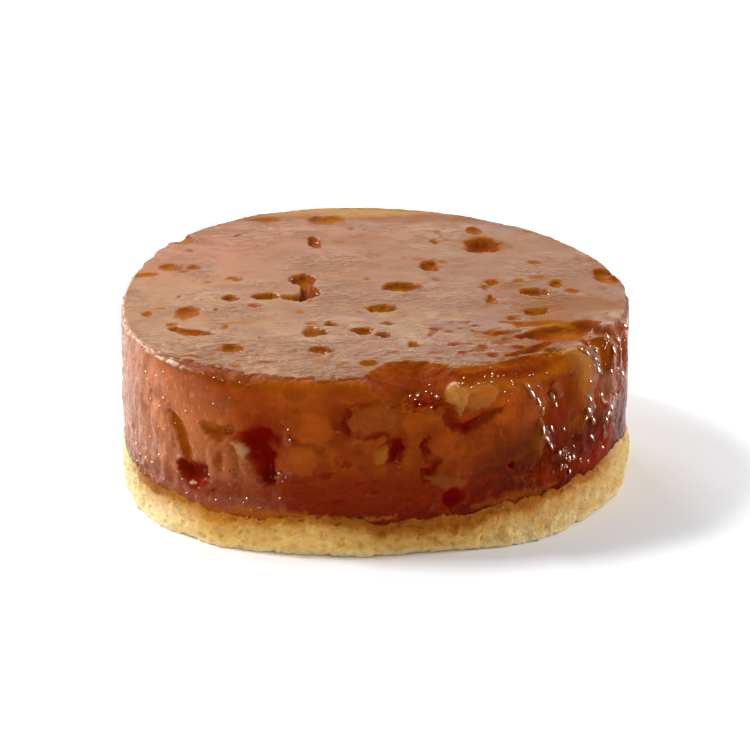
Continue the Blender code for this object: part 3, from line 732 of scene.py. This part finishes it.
def ramp(factor, low, high, from_value=0.0, to_value=1.0):
    """Stretch a range of values onto another, with clamped ends."""
    node = tree_of(factor).nodes.new("ShaderNodeMapRange")
    node.interpolation_type = "SMOOTHSTEP"
    set_plain(node, {"From Min": low, "From Max": high, "To Min": from_value, "To Max": to_value})
    feed(node.inputs["Value"], factor)
    return node.outputs[0]


def crease_lines(value, width):
    """Thin lines where a noise crosses its middle: 1 on the line, 0 beside it."""
    return ramp(apart_from(value, 0.5), width, 0.0)


def mask(tree, name):
    """Read a number kept on the mesh."""
    node = tree.nodes.new("ShaderNodeAttribute")
    node.attribute_name = name
    return node.outputs["Fac"]


def set_plain(node, values):
    """Give a node's sockets plain values, the same all over."""
    for name, value in values.items():
        node.inputs[name].default_value = value


def object_places(tree):
    """Object coordinates, whole and as their three axes."""
    place = tree.nodes.new("ShaderNodeTexCoord").outputs["Object"]
    axes = tree.nodes.new("ShaderNodeSeparateXYZ")
    feed(axes.inputs[0], place)
    return place, axes.outputs


def new_material(name, plain):
    """Material with its Principled shader, which gets its plain values here."""
    material = bpy.data.materials.new(name)
    material.use_nodes = True
    shader = material.node_tree.nodes["Principled BSDF"]
    set_plain(shader, plain)
    return material, material.node_tree, shader


def raise_bump(shader, height, distance, strength):
    """Fine relief of a shader from a height that changes over the surface."""
    bump = tree_of(height).nodes.new("ShaderNodeBump")
    set_plain(bump, {"Distance": distance, "Strength": strength})
    feed(bump.inputs["Height"], height)
    feed(shader.inputs["Normal"], bump.outputs[0])


# colours and fine relief of cooked apple flesh soaked in caramel, shared by its four finishes:
# amber, redder low down and in the crevices, milky and marbled under the film of dried juice
flesh = bpy.data.node_groups.new("apple_flesh", "ShaderNodeTree")
for socket_name, kind in (
        ("Colour", "NodeSocketColor"), ("Relief", "NodeSocketFloat"), ("Streak", "NodeSocketFloat")):
    flesh.interface.new_socket(socket_name, in_out="OUTPUT", socket_type=kind)
tree = flesh
given = tree.nodes.new("NodeGroupOutput")
place, (side_x, side_y, up) = object_places(tree)
on_top = mask(tree, "top")
cloud = noise_at(place, 8.0, 4.0)
veil = noise_at(place, 3.5, 3.0, 0.5, stretch=(1.0, 1.0, 1.5), swirl=0.8)
marble = noise_at(place, 7.0, 5.0, 0.6, stretch=(2.4, 1.0, 1.0), swirl=1.6)
fold = noise_at(place, 2.6, 3.0, 0.5, stretch=(2.0, 1.0, 1.0), swirl=2.2)
folded = ramp(noise_at(place, 13.0, 2.0), 0.42, 0.62)
front_folds = ramp(side_y, -0.012, -0.026)
folded = combine("MAXIMUM", folded, front_folds)
# darker lines in the film's creases and dashes: painted shade in the colour, and also a dip in the relief
# and a break in the coat
crease_and_shade = times(crease_lines(fold, 0.028), folded)
dashes = noise_at(place, 1.5, 3.0, 0.55, stretch=(3.0, 1.0, 1.0))
dashed = combine("MAXIMUM", ramp(noise_at(place, 5.0, 2.0), 0.48, 0.62), front_folds)
dash_and_shade = times(crease_lines(dashes, 0.03), dashed)
streak = noise_at(place, 1.3, 4.0, 0.6, stretch=(1.0, 1.0, 5.0))

amber = blend_colour(ramp(cloud, 0.35, 0.65), (0.262, 0.036, 0.0016), (0.345, 0.062, 0.0034))
amber = blend_colour(ramp(veil, 0.52, 0.72, 0.0, 0.5), amber, (0.185, 0.024, 0.0015))
smudge = noise_at(place, 2.4, 5.0, 0.65, stretch=(1.8, 1.8, 1.0), swirl=0.6)
amber = blend_colour(1.0, amber, ramp(smudge, 0.3, 0.7, 0.84, 1.14), "MULTIPLY")
sideways = plus(side_x, times(minus(up, 0.013), 0.6))
left = times(ramp(sideways, -0.0120, -0.0335), ramp(up, 0.0075, 0.0115, 0.45, 1.0))
low_right = times(ramp(up, 0.020, 0.012), ramp(side_x, 0.006, 0.020))
# the left layer is lighter, pinker and greyer: partly the flesh's own colour, partly painted sheen of the
# grazing reflection there
side_colour = lay_over(
    amber,
    (times(ramp(up, 0.019, 0.008), 0.95), (0.150, 0.0050, 0.0005)),
    (times(left, 0.8), (0.49, 0.175, 0.066)),
    (times(ramp(side_x, 0.018, 0.030), 0.7), (0.120, 0.014, 0.0012)),
    (times(low_right, 0.8), (0.075, 0.004, 0.001)))
tone_shift = ramp(mask(tree, "tone"), 0.0, 1.0, 0.85, 1.15)
side_colour = blend_colour(1.0, side_colour, tone_shift, "MULTIPLY")
side_streak = ramp(streak, 0.35, 0.7, 0.85, 1.15)
streaked = blend_colour(1.0, side_colour, side_streak, "MULTIPLY")
# flecks on the left and far right: the pale ones are painted glints, the dark ones the flesh's own flecks
speck_and_glint = noise_at(place, 0.7, 3.0, 0.6, stretch=(1.0, 1.0, 1.7))
veiled = combine("MAXIMUM", left, ramp(side_x, 0.0345, 0.0375))
side_colour = lay_over(
    side_colour,
    (left, streaked),
    (times(ramp(speck_and_glint, 0.58, 0.68, 0.0, 0.45), veiled), (0.78, 0.50, 0.34)),
    (times(ramp(speck_and_glint, 0.42, 0.32, 0.0, 0.5), veiled), (0.25, 0.060, 0.010)))

# the top is lighter and pinker towards the left and back: partly the flesh's own colour, partly painted
# light from the key at the left
pink = times(ramp(side_y, -0.004, 0.018), ramp(side_x, 0.020, -0.010))
# painted highlight: paler colour on the crests of the film's folds
fold_highlight = times(ramp(fold, 0.50, 0.60), folded)
# painted light: the back rim of the top turns golden where light shines through its thin edge
golden = ramp(plus(side_y, times(marble, 0.012)), 0.0402, 0.0452)
top_colour = lay_over(
    blend_colour(ramp(marble, 0.36, 0.64), (0.205, 0.056, 0.012), (0.275, 0.112, 0.012)),
    (ramp(side_x, 0.002, -0.026), (0.32, 0.122, 0.016)),
    (times(pink, 0.8), (0.36, 0.098, 0.020)),
    (times(fold_highlight, 0.45), (0.40, 0.17, 0.050)),
    (times(ramp(mask(tree, "film"), 0.8, 0.4), 0.7), (0.21, 0.062, 0.002)),
    (times(golden, 0.7), (0.44, 0.24, 0.030)),
    (times(crease_and_shade, 0.75), (0.17, 0.038, 0.002)))

# pit colours: painted shade on the sloping walls of the pits, and darker where the pits are deepest
gold = lay_over(
    blend_colour(ramp(cloud, 0.4, 0.6), (0.225, 0.048, 0.001), (0.34, 0.098, 0.002)),
    (times(mask(tree, "wall"), 0.85), (0.13, 0.022, 0.001)),
    (ramp(mask(tree, "deep"), 0.0, 0.8), (0.155, 0.022, 0.001)))
umber = blend_colour(ramp(cloud, 0.4, 0.6), (0.225, 0.038, 0.001), (0.335, 0.072, 0.002))
red_mask = mask(tree, "red")
colour = lay_over(
    blend_colour(on_top, side_colour, top_colour),
    (times(times(dash_and_shade, on_top), 0.7), (0.17, 0.036, 0.002)),
    (mask(tree, "amber"), blend_colour(on_top, umber, gold)),
    (times(mask(tree, "shade"), 0.8), (0.13, 0.016, 0.001)),
    (ramp(red_mask, 0.0, 0.6), (0.19, 0.014, 0.0010)),
    (ramp(red_mask, 0.5, 1.0), (0.165, 0.0018, 0.0003)),
    (times(mask(tree, "pale"), 0.85), (0.38, 0.165, 0.030)),
    (mask(tree, "seep"), (0.36, 0.088, 0.004)))
dim = times(ramp(up, 0.023, 0.014), ramp(up, 0.0085, 0.0130))
dim = times(dim, times(ramp(side_x, 0.010, 0.027), ramp(side_x, 0.037, 0.033)))
dim = ramp(times(dim, minus(1.0, on_top)), 0.0, 1.0, 1.0, 0.58)
colour = blend_colour(1.0, colour, dim, "MULTIPLY")
# painted highlight: pale cream laid over the colour along the left rim, on lit chunk edges and in streaks
# down the right side
colour = blend_colour(mask(tree, "painted_highlight"), colour, (0.92, 0.70, 0.50))
feed(given.inputs["Colour"], colour)

grain = noise_at(place, 0.5, 3.0, 0.6)
wrinkle = noise_at(place, 1.8, 1.0, 0.4, stretch=(1.0, 1.0, 1.6), swirl=0.6)
top_folds = times(times(fold, folded), ramp(front_folds, 0.0, 1.0, 0.7, 1.5))
dry = blend_colour(on_top, plus(times(streak, 0.5), times(grain, 0.2)), top_folds)
dry = minus(dry, times(times(crease_and_shade, on_top), 0.10))
dry = plus(dry, times(grain, 0.06))
wet_relief = times(wrinkle, mask(tree, "wet"))
feed(given.inputs["Relief"], plus(dry, wet_relief))
broken = minus(1.0, times(combine("MAXIMUM", crease_and_shade, dash_and_shade), 0.85))
streaks = blend_colour(on_top, ramp(times(plus(streak, grain), 0.5), 0.40, 0.60, 0.25, 1.1),
                       times(ramp(marble, 0.3, 0.66, 0.8, 1.0), broken))
feed(given.inputs["Streak"], streaks)


def flesh_finish(name, shine, roughness, relief, coat):
    """One finish of the apple flesh: plain shine, roughness, depth of relief and strength of film."""
    material, tree, shader = new_material(name, {
        "Roughness": roughness, "Specular IOR Level": shine, "IOR": 1.45, "Coat Roughness": 0.13,
        "Specular Tint": (1.0, 0.62, 0.32, 1.0), "Subsurface Weight": 0.30,
        "Subsurface Radius": (1.0, 0.28, 0.07), "Subsurface Scale": 0.0012})
    looks = tree.nodes.new("ShaderNodeGroup")
    looks.node_tree = flesh
    feed(shader.inputs["Base Color"], looks.outputs["Colour"])
    raise_bump(shader, looks.outputs["Relief"], 0.001, relief)
    milky = times(mask(tree, "film"), looks.outputs["Streak"])
    feed(shader.inputs["Coat Weight"], times(milky, coat))
    apple_mesh.materials.append(material)


flesh_finish("smooth_apple_flesh", 0.08, 0.24, 0.6, 0.5)
flesh_finish("filmed_apple_flesh", 0.25, 0.22, 0.6, 0.50)
flesh_finish("wet_apple_flesh", 0.28, 0.08, 0.3, 0.12)
flesh_finish("bare_apple_flesh", 0.03, 0.3, 0.6, 0.0)
wettest = skin["wet"] > 0.35
filmed = film > 0.35
bare = (np.maximum(stained, torn_open) > 0.55) | (between(bearing, 40, 66, 2) * is_side > 0.5)
for face in apple_mesh.polygons:
    corners = list(face.vertices)
    if wettest[corners].mean() > 0.5:
        face.material_index = 2
    elif filmed[corners].mean() > 0.5:
        face.material_index = 1
    elif bare[corners].mean() > 0.5:
        face.material_index = 3
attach(pressed_apples, "root")
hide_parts("apple_layer")

# ---------------------------------------------------------------------------------------------
# Syrup beads: small thin drops of clear caramel that stand on the torn flesh, at the edges of the
# pits and along the strands, half sunk in the skin and joined into one mesh.
# ---------------------------------------------------------------------------------------------
skin_now = mesh_points(apple_mesh)
skin_normals = np.empty(len(apple_mesh.vertices) * 3)
apple_mesh.vertices.foreach_get("normal", skin_normals)
skin_normals = skin_normals.reshape(-1, 3)
OFF_THE_TOP = 999.0
drops = random.Random(23)
toward_left = Vector((-0.39, -0.56, 0.73))
toward_right = Vector((0.53, -0.47, 0.36))
toward_edge = Vector((-0.68, -0.30, 0.62))
bead_places = []
for angle, z, size, tall in (
        (10, 28.2, 0.30, 1.0), (12, 27.9, 0.46, 1.0), (14, 28.7, 0.26, 1.0), (16, 26.8, 0.40, 1.2),
        (11, 26.8, 0.24, 1.0), (12, 25.7, 0.28, 1.0), (14, 24.2, 0.26, 1.0), (30, 30.3, 0.24, 1.0),
        (29, 27.8, 0.24, 1.0), (27, 28.3, 0.20, 1.0), (39, 27.9, 0.24, 1.0), (34, 27.7, 0.22, 1.0),
        (43, 27.6, 0.24, 1.0), (23, 29.7, 0.34, 0.7), (26, 28.0, 0.24, 1.0), (21, 28.6, 0.34, 0.6),
        (24, 27.5, 0.24, 1.0), (26, 21.3, 0.26, 0.8), (6, 15.7, 0.30, 1.0), (6.6, 14.9, 0.22, 1.0),
        (22, 28.6, 0.24, 1.0), (-51, 25.1, 0.26, 1.0), (-35, 28.1, 0.30, 0.6), (-33, 28.0, 0.28, 0.6),
        (-29, 28.0, 0.30, 0.6), (-27, 27.9, 0.26, 0.7), (-49, 21.9, 0.24, 1.0), (-35, 23.5, 0.22, 1.0),
        (-54, 20.6, 0.24, 1.0), (-50, 20.7, 0.34, 0.6), (-47, 20.5, 0.30, 0.6), (-33, 19.4, 0.26, 1.2),
        (-31.6, 19.6, 0.26, 1.2), (-38, 11.3, 0.14, 1.3), (-36, 11.9, 0.15, 1.3), (-20, 13.7, 0.34, 0.8),
        (-18.4, 13.2, 0.28, 1.0), (-21, 12.8, 0.26, 1.0), (-18, 21.3, 0.26, 1.0),
        (-17.4, 19.6, 0.38, 0.8), (-23, 12.2, 0.28, 1.0), (-28, 8.0, 0.24, 1.2), (-25, 7.3, 0.26, 1.2),
        (-20, 9.6, 0.24, 1.4), (-51, 11.9, 0.22, 1.4), (-35, 7.8, 0.24, 1.0), (-7, 20.8, 0.22, 1.0),
        (-3, 19.3, 0.22, 1.0), (-73, 9.2, 0.22, 1.0), (-57, 10.0, 0.24, 1.0), (-50, 8.3, 0.22, 1.0),
        (-42, 7.6, 0.22, 1.0), (-62, 11.2, 0.22, 1.0), (-44, 9.4, 0.22, 1.0), (-31, 25.2, 0.20, 1.0)):
    bead_places.append((angle, z, size, tall, toward_left))
for angle, z, size, tall in (
        (37, 25.7, 0.26, 1.6), (38, 24.4, 0.30, 2.0), (39.6, 23.0, 0.28, 2.2), (41, 21.4, 0.26, 2.0),
        (44, 22.9, 0.30, 1.6), (45, 21.4, 0.26, 1.4), (55, 20.0, 0.34, 2.0), (55, 18.6, 0.30, 1.8),
        (54, 17.6, 0.26, 1.6), (56, 16.7, 0.28, 1.8), (61, 19.5, 0.36, 0.9), (65, 16.4, 0.28, 1.2),
        (63, 16.0, 0.36, 1.1), (62, 15.0, 0.30, 1.0), (41, 18.1, 0.32, 1.8), (41.6, 16.6, 0.34, 1.8),
        (43, 15.2, 0.30, 1.6), (43.4, 17.8, 0.26, 1.6), (47, 16.8, 0.22, 1.0), (46, 13.1, 0.30, 1.0),
        (48, 11.9, 0.26, 1.2), (50, 12.0, 0.30, 1.0), (57, 13.5, 0.24, 2.0), (62, 10.4, 0.26, 1.0),
        (47, 10.8, 0.28, 1.2), (50, 9.4, 0.26, 1.0), (53, 10.5, 0.22, 1.0), (56, 9.6, 0.24, 1.0),
        (54, 29.6, 0.26, 1.2), (55, 27.9, 0.26, 1.4), (57, 26.6, 0.28, 1.4), (58, 28.2, 0.26, 1.2),
        (59, 24.3, 0.28, 1.8), (63, 31.6, 0.28, 1.2), (66, 28.6, 0.34, 1.0), (68, 27.2, 0.28, 1.4),
        (65, 26.1, 0.28, 2.0), (65, 22.6, 0.26, 1.8), (66, 18.4, 0.26, 1.4), (71, 20.6, 0.34, 1.2),
        (73, 22.1, 0.26, 1.6), (71, 32.0, 0.26, 1.0), (77, 32.0, 0.26, 1.0), (75, 27.4, 0.26, 1.8),
        (60, 30.2, 0.26, 1.4)):
    bead_places.append((angle, z, size * 1.5, tall * 1.2, toward_right))
for step in range(46):
    bead_places.append((-97.0 + step * 1.12 + drops.uniform(-0.5, 0.5), 28.35 + drops.uniform(-0.25, 0.2),
                        drops.uniform(0.14, 0.30), drops.uniform(0.5, 0.8), toward_edge))
for angle, z, spread, count in (
        (12, 26.8, 3.0, 4), (32, 28.8, 4.0, 16), (48, 13.0, 3.6, 18), (61, 26.0, 3.2, 24),
        (72, 24.0, 4.0, 18), (-55, 21.0, 6.0, 4), (-58, 10.0, 5.0, 10), (-28, 8.4, 4.0, 14),
        (-20, 13.0, 1.6, 6), (-46, 23.0, 4.0, 6)):
    for _ in range(count):
        facing = toward_right if angle > 40 else toward_left
        bead_places.append((angle + math.degrees(drops.gauss(0.0, spread * 0.5) / SIDE_RADIUS),
                            z + drops.gauss(0.0, spread * 0.5),
                            drops.uniform(0.10, 0.20), drops.uniform(0.8, 1.8), facing))
for _ in range(70):
    bead_places.append((drops.uniform(88.0, 255.0), drops.uniform(8.0, 27.5), drops.uniform(0.14, 0.36),
                        1.2, None))
for x, y, size in (
        (-9.6, 2.2, 0.34), (-9.0, 0.6, 0.30), (-8.6, -1.6, 0.26), (-13.4, 6.4, 0.24), (-9.2, 7.2, 0.26),
        (6.9, 2.9, 0.26), (10.2, 11.6, 0.32), (9.6, 13.4, 0.24), (19.6, 22.4, 0.26), (-9.4, 23.6, 0.30),
        (-7.6, -26.4, 0.32), (-6.2, -25.4, 0.26), (-8.2, -17.0, 0.24), (-0.6, -16.4, 0.26),
        (0.4, -19.0, 0.24), (-20.6, -25.6, 0.26), (18.9, -5.4, 0.24), (27.2, -0.4, 0.28),
        (29.6, 2.6, 0.24), (26.8, -9.4, 0.28)):
    bead_places.append((x, y, size * 1.2, 0.7, "top"))

# a bead on the side has an angle and a height, and one on the top has x and y in their place
syrup = bmesh.new()
for angle, z, size, tall, facing in bead_places:
    apart = (around - math.radians(angle) + math.pi) % math.tau - math.pi
    nearest = int(np.argmin((apart * SIDE_RADIUS) ** 2 + (lift - z) ** 2))
    if facing == "top":
        nearest = int(np.argmin((apple_x - angle) ** 2 + (apple_y - z) ** 2 + OFF_THE_TOP * ~is_top))
        facing = toward_left
    out = Vector(skin_normals[nearest])
    lean = Vector([drops.gauss(0.0, 0.045) for _ in range(3)])
    facing = ((facing if facing else out) + lean).normalized()
    spot = Vector(skin_now[nearest]) + out * size * 0.3 / MM
    made = bmesh.ops.create_icosphere(syrup, subdivisions=2, radius=1.0)
    face_out = facing.to_track_quat("Z", "Y") @ Euler((0.0, 0.0, drops.gauss(0.0, 0.5))).to_quaternion()
    lobe, turned, notch = drops.uniform(0.0, 0.42), drops.uniform(0.0, math.tau), drops.uniform(0.0, 0.32)
    for vert in made["verts"]:
        swing = math.atan2(vert.co.y, vert.co.x) + turned
        wide = 1.0 + lobe * math.cos(2.0 * swing) + notch * math.cos(3.0 * swing)
        rise = math.copysign(1.0 - min(1.0, math.hypot(vert.co.x, vert.co.y)) ** 4, vert.co.z) * 0.14
        shaped = Vector((vert.co.x * wide, vert.co.y * wide * tall, rise))
        vert.co = spot + face_out @ (shaped * (size / MM))
syrup_mesh = made_mesh("syrup_beads", syrup)
set_mesh_points(syrup_mesh, np.clip(mesh_points(syrup_mesh) * MM, low, high))
syrup_mesh.shade_smooth()
syrup_beads = placed_piece(syrup_mesh)
caramel_syrup, tree, shader = new_material("caramel_syrup", {
    "Roughness": 0.05, "Specular IOR Level": 0.8, "Specular Tint": (1.0, 0.86, 0.70, 1.0),
    "Subsurface Weight": 0.5, "Subsurface Radius": (1.0, 0.3, 0.08), "Subsurface Scale": 0.002})
place, (side_x, side_y, up) = object_places(tree)
colour = blend_colour(ramp(side_x, -0.026, -0.037), (0.19, 0.028, 0.001), (0.50, 0.20, 0.08))
feed(shader.inputs["Base Color"], colour)
syrup_mesh.materials.append(caramel_syrup)
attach(syrup_beads, "root")
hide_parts("apple_layer")

# ---------------------------------------------------------------------------------------------
# Shortcrust base: a thin baked disc with a flat underside and a crumbly broken rim that stands out
# a little past the apples. It is soaked with caramel where the two meet at the front.
# ---------------------------------------------------------------------------------------------
UNDER_ROUND = 0.6
LIP_ROUND = 2.0
CRUST_RADIUS = 40.25
UNDERSIDE_ROWS = 2
BELOW_DEPTH = 5.0
CRUST_COLUMNS = 190
CRUST_LINES = 120
CRUST_EDGE_ROWS = 12
CRUST_SIDE_ROWS = 12

crust = closed_puck(CRUST_COLUMNS, CRUST_LINES, 2 * CRUST_EDGE_ROWS + CRUST_SIDE_ROWS + UNDERSIDE_ROWS)
crust_mesh = made_mesh("shortcrust_base", crust)
row, share, around = grid_places(crust_mesh)
bearing = np.degrees(around)
lip_turn = np.clip(row / CRUST_EDGE_ROWS, 0.0, 1.0) * math.pi / 2.0
side = np.clip((row - CRUST_EDGE_ROWS) / CRUST_SIDE_ROWS, 0.0, 1.0)
foot_turn = np.clip((row - CRUST_EDGE_ROWS - CRUST_SIDE_ROWS) / CRUST_EDGE_ROWS, 0.0, 1.0) * math.pi / 2.0
under = np.clip((row - 2 * CRUST_EDGE_ROWS - CRUST_SIDE_ROWS) / UNDERSIDE_ROWS, 0.0, 1.0)
outer = plan_radius(around, CRUST_RADIUS)
tuck = 0.5 + 0.7 * between(bearing, -29, -9, 6) - 1.3 * between(bearing, 26, 48, 8)
lip_height = seam_height(around, 1.0)
height = np.where(row > 0, lip_height - LIP_ROUND * (1.0 - np.cos(lip_turn)), seam_height(around, share))
height = height - (height - UNDER_ROUND) * side
height = height - UNDER_ROUND * np.sin(foot_turn)
reach = np.where(row > 0, outer - LIP_ROUND * (1.0 - np.sin(lip_turn)) * 0.3,
                 share * (outer - LIP_ROUND * 0.3))
reach = reach - UNDER_ROUND * 1.3 * (1.0 - np.cos(foot_turn)) - tuck * side
reach = reach * (1.0 - under)
base = np.stack([MIDDLE_X + reach * np.sin(around), MIDDLE_Y - reach * np.cos(around), height], 1)
steep = np.where(row > 0, lip_turn + foot_turn, 0.0)
outward = np.stack([np.sin(around) * np.sin(steep), -np.cos(around) * np.sin(steep), np.cos(steep)], 1)
crumb = ripple(base, 1.3, 4, 20.0)
lumps = ripple(base, 4.0, 2, 21.0)
pores = np.clip(ripple(base, 0.8, 2, 22.0) - 0.15, 0.0, 1.0)
at_edge = np.where((row > 0) & (under <= 0), 1.0, 0.0) * soft_step(1.0, 0.8, foot_turn / (math.pi / 2.0))
rough = (0.36 * crumb + 0.36 * lumps - 0.7 * pores + 0.05) * at_edge
set_mesh_points(crust_mesh, np.clip(base + outward * rough[:, None], low, high))
keep_mask(crust_mesh, "pore", pores * 2.5)
keep_mask(crust_mesh, "below", (lip_height - height) / BELOW_DEPTH)
crust_mesh.shade_smooth()
shortcrust_base = placed_piece(crust_mesh)

shortcrust, tree, shader = new_material("baked_shortcrust", {
    "Subsurface Weight": 0.15, "Subsurface Radius": (1.0, 0.6, 0.3), "Subsurface Scale": 0.0012,
    "Specular IOR Level": 0.08, "Emission Strength": 0.06})
place, (side_x, side_y, up) = object_places(tree)
patches = noise_at(place, 6.0, 3.0)
crumbs = noise_at(place, 1.9, 5.0, 0.66)
dots = noise_at(place, 0.45, 3.0, 0.6)
baked = ramp(side_x, -0.037, -0.022)
baked = plus(baked, times(minus(patches, 0.5), 1.2))
# crumb tops lighter and the hollows between them darker: partly the crust's own mottling, partly painted
# light and shade on the bumps of the crumbs
colour = lay_over(
    blend_colour(ramp(baked, 0.0, 1.0), (1.0, 0.85, 0.47), (0.98, 0.61, 0.17)),
    (ramp(side_x, 0.012, 0.026, 0.0, 0.9), (0.67, 0.45, 0.190)),
    (ramp(crumbs, 0.52, 0.66, 0.0, 0.55), (1.0, 0.78, 0.37)),
    (ramp(crumbs, 0.47, 0.34, 0.0, 0.6), (0.78, 0.40, 0.070)),
    (times(mask(tree, "pore"), 0.35), (0.66, 0.34, 0.08)),
    (ramp(dots, 0.58, 0.72, 0.0, 0.3), (0.84, 0.46, 0.12)))
front = ramp(side_y, -0.012, -0.027)
middle = ramp(apart_from(side_x, 0.008), 0.016, 0.006)
left_soak = ramp(apart_from(side_x, -0.020), 0.016, 0.004)
below = times(mask(tree, "below"), BELOW_DEPTH)
below = plus(below, times(minus(patches, 0.5), 3.4))
below = plus(below, times(minus(crumbs, 0.5), 1.6))
below = minus(below, times(middle, 1.25))
soak = times(ramp(below, 2.1, 0.7), front)
toasted = times(ramp(below, 5.0, 1.6), times(front, 0.72))
darkest = times(ramp(below, 1.1, 0.1), times(front, 0.4))
colour = lay_over(
    colour,
    (toasted, (0.60, 0.28, 0.05)),
    (times(soak, 0.95), blend_colour(left_soak, (0.44, 0.135, 0.005), (0.62, 0.23, 0.016))),
    (darkest, (0.24, 0.045, 0.002)),
    # paler along the bottom edge: partly the crust's own colour, partly painted light against the shade
    # where it meets the floor
    (ramp(up, 0.0016, 0.0003, 0.0, 0.6), (0.95, 0.78, 0.46)))
feed(shader.inputs["Base Color"], colour)
# painted light: the left of the crust glows faintly, warm where it is dry and dark where soaked, for the
# light bounced up from the floor
lit_left = ramp(side_x, -0.002, -0.020)
glow = blend_colour(soak, (1.0, 0.68, 0.26), (0.10, 0.03, 0.001))
feed(shader.inputs["Emission Color"], blend_colour(lit_left, (0.0, 0.0, 0.0), glow))
raise_bump(shader, plus(crumbs, times(dots, 0.3)), 0.0014, 1.0)
feed(shader.inputs["Roughness"], ramp(soak, 0.2, 0.8, 0.7, 0.25))
crust_mesh.materials.append(shortcrust)
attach(shortcrust_base, "root")
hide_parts("pastry_base")

# ---------------------------------------------------------------------------------------------
# Floor: a plain white matt sheet that the tart stands on. It is only there for the picture, and
# isn't part of the object.
# ---------------------------------------------------------------------------------------------
floor_bm = bmesh.new()
bmesh.ops.create_grid(floor_bm, x_segments=1, y_segments=1, size=4.0)
floor_mesh = made_mesh("floor", floor_bm)
floor = placed_piece(floor_mesh)
white_floor, tree, shader = new_material("white_floor", {
    "Base Color": (0.90, 0.91, 0.93, 1.0), "Roughness": 0.9, "Specular IOR Level": 0.1})
floor_mesh.materials.append(white_floor)

# ---------------------------------------------------------------------------------------------
# Soft white studio: a bright surround, brightest low behind, a large key light at the upper left,
# one high behind it, a low one for the left edge, and a small one at the right for wet glints.
# ---------------------------------------------------------------------------------------------
world = bpy.data.worlds.new("studio")
scene.world = world
world.use_nodes = True
tree = world.node_tree
background = tree.nodes["Background"]
parts = tree.nodes.new("ShaderNodeSeparateXYZ")
feed(parts.inputs[0], tree.nodes.new("ShaderNodeTexCoord").outputs["Generated"])
behind = ramp(parts.outputs[1], 0.55, 0.92, 0.0, 0.55)
sideways = ramp(parts.outputs[0], 0.0, 1.0, 0.54, 0.84)
feed(background.inputs["Strength"], plus(behind, sideways))
background.inputs["Color"].default_value = (1.0, 1.0, 1.0, 1.0)


def soft_light(name, place, aim_height, size, power):
    """Square area light that faces a point above the middle of the floor."""
    data = bpy.data.lights.new(name, "AREA")
    data.size = size
    data.energy = power
    lamp = bpy.data.objects.new(name, data)
    lamp.location = place
    toward = Vector((0.0, 0.0, aim_height)) - Vector(place)
    lamp.rotation_euler = toward.to_track_quat("-Z", "Y").to_euler()
    scene.collection.objects.link(lamp)


soft_light("key_light", (-0.675, 0.06, 0.867), 0.015, 0.26, 8.2)
soft_light("back_light", (-0.366, 0.786, 0.677), 0.015, 0.36, 3.2)
soft_light("edge_light", (-0.90, 0.55, 0.42), 0.02, 0.22, 3.0)
soft_light("right_light", (0.97, 0.14, 0.26), 0.015, 0.18, 4.6)
scene.view_settings.view_transform = "Standard"

# ---------------------------------------------------------------------------------------------
# Camera: a long lens a metre away and 21 degrees above the floor, aimed at the middle of the tart,
# with everything in focus.
# ---------------------------------------------------------------------------------------------
camera_data = bpy.data.cameras.new("camera")
camera_data.lens = 304.0
camera_data.sensor_width = 36.0
camera = bpy.data.objects.new("camera", camera_data)
aim = Vector((-0.000124, 0.0, 0.01467))
elevation = math.radians(21.244)
camera.location = aim + Vector((0.0, -math.cos(elevation), math.sin(elevation)))
camera.rotation_euler = (aim - camera.location).to_track_quat("-Z", "Y").to_euler()
camera_data.clip_start = 0.05
camera_data.clip_end = 20.0
scene.collection.objects.link(camera)
scene.camera = camera
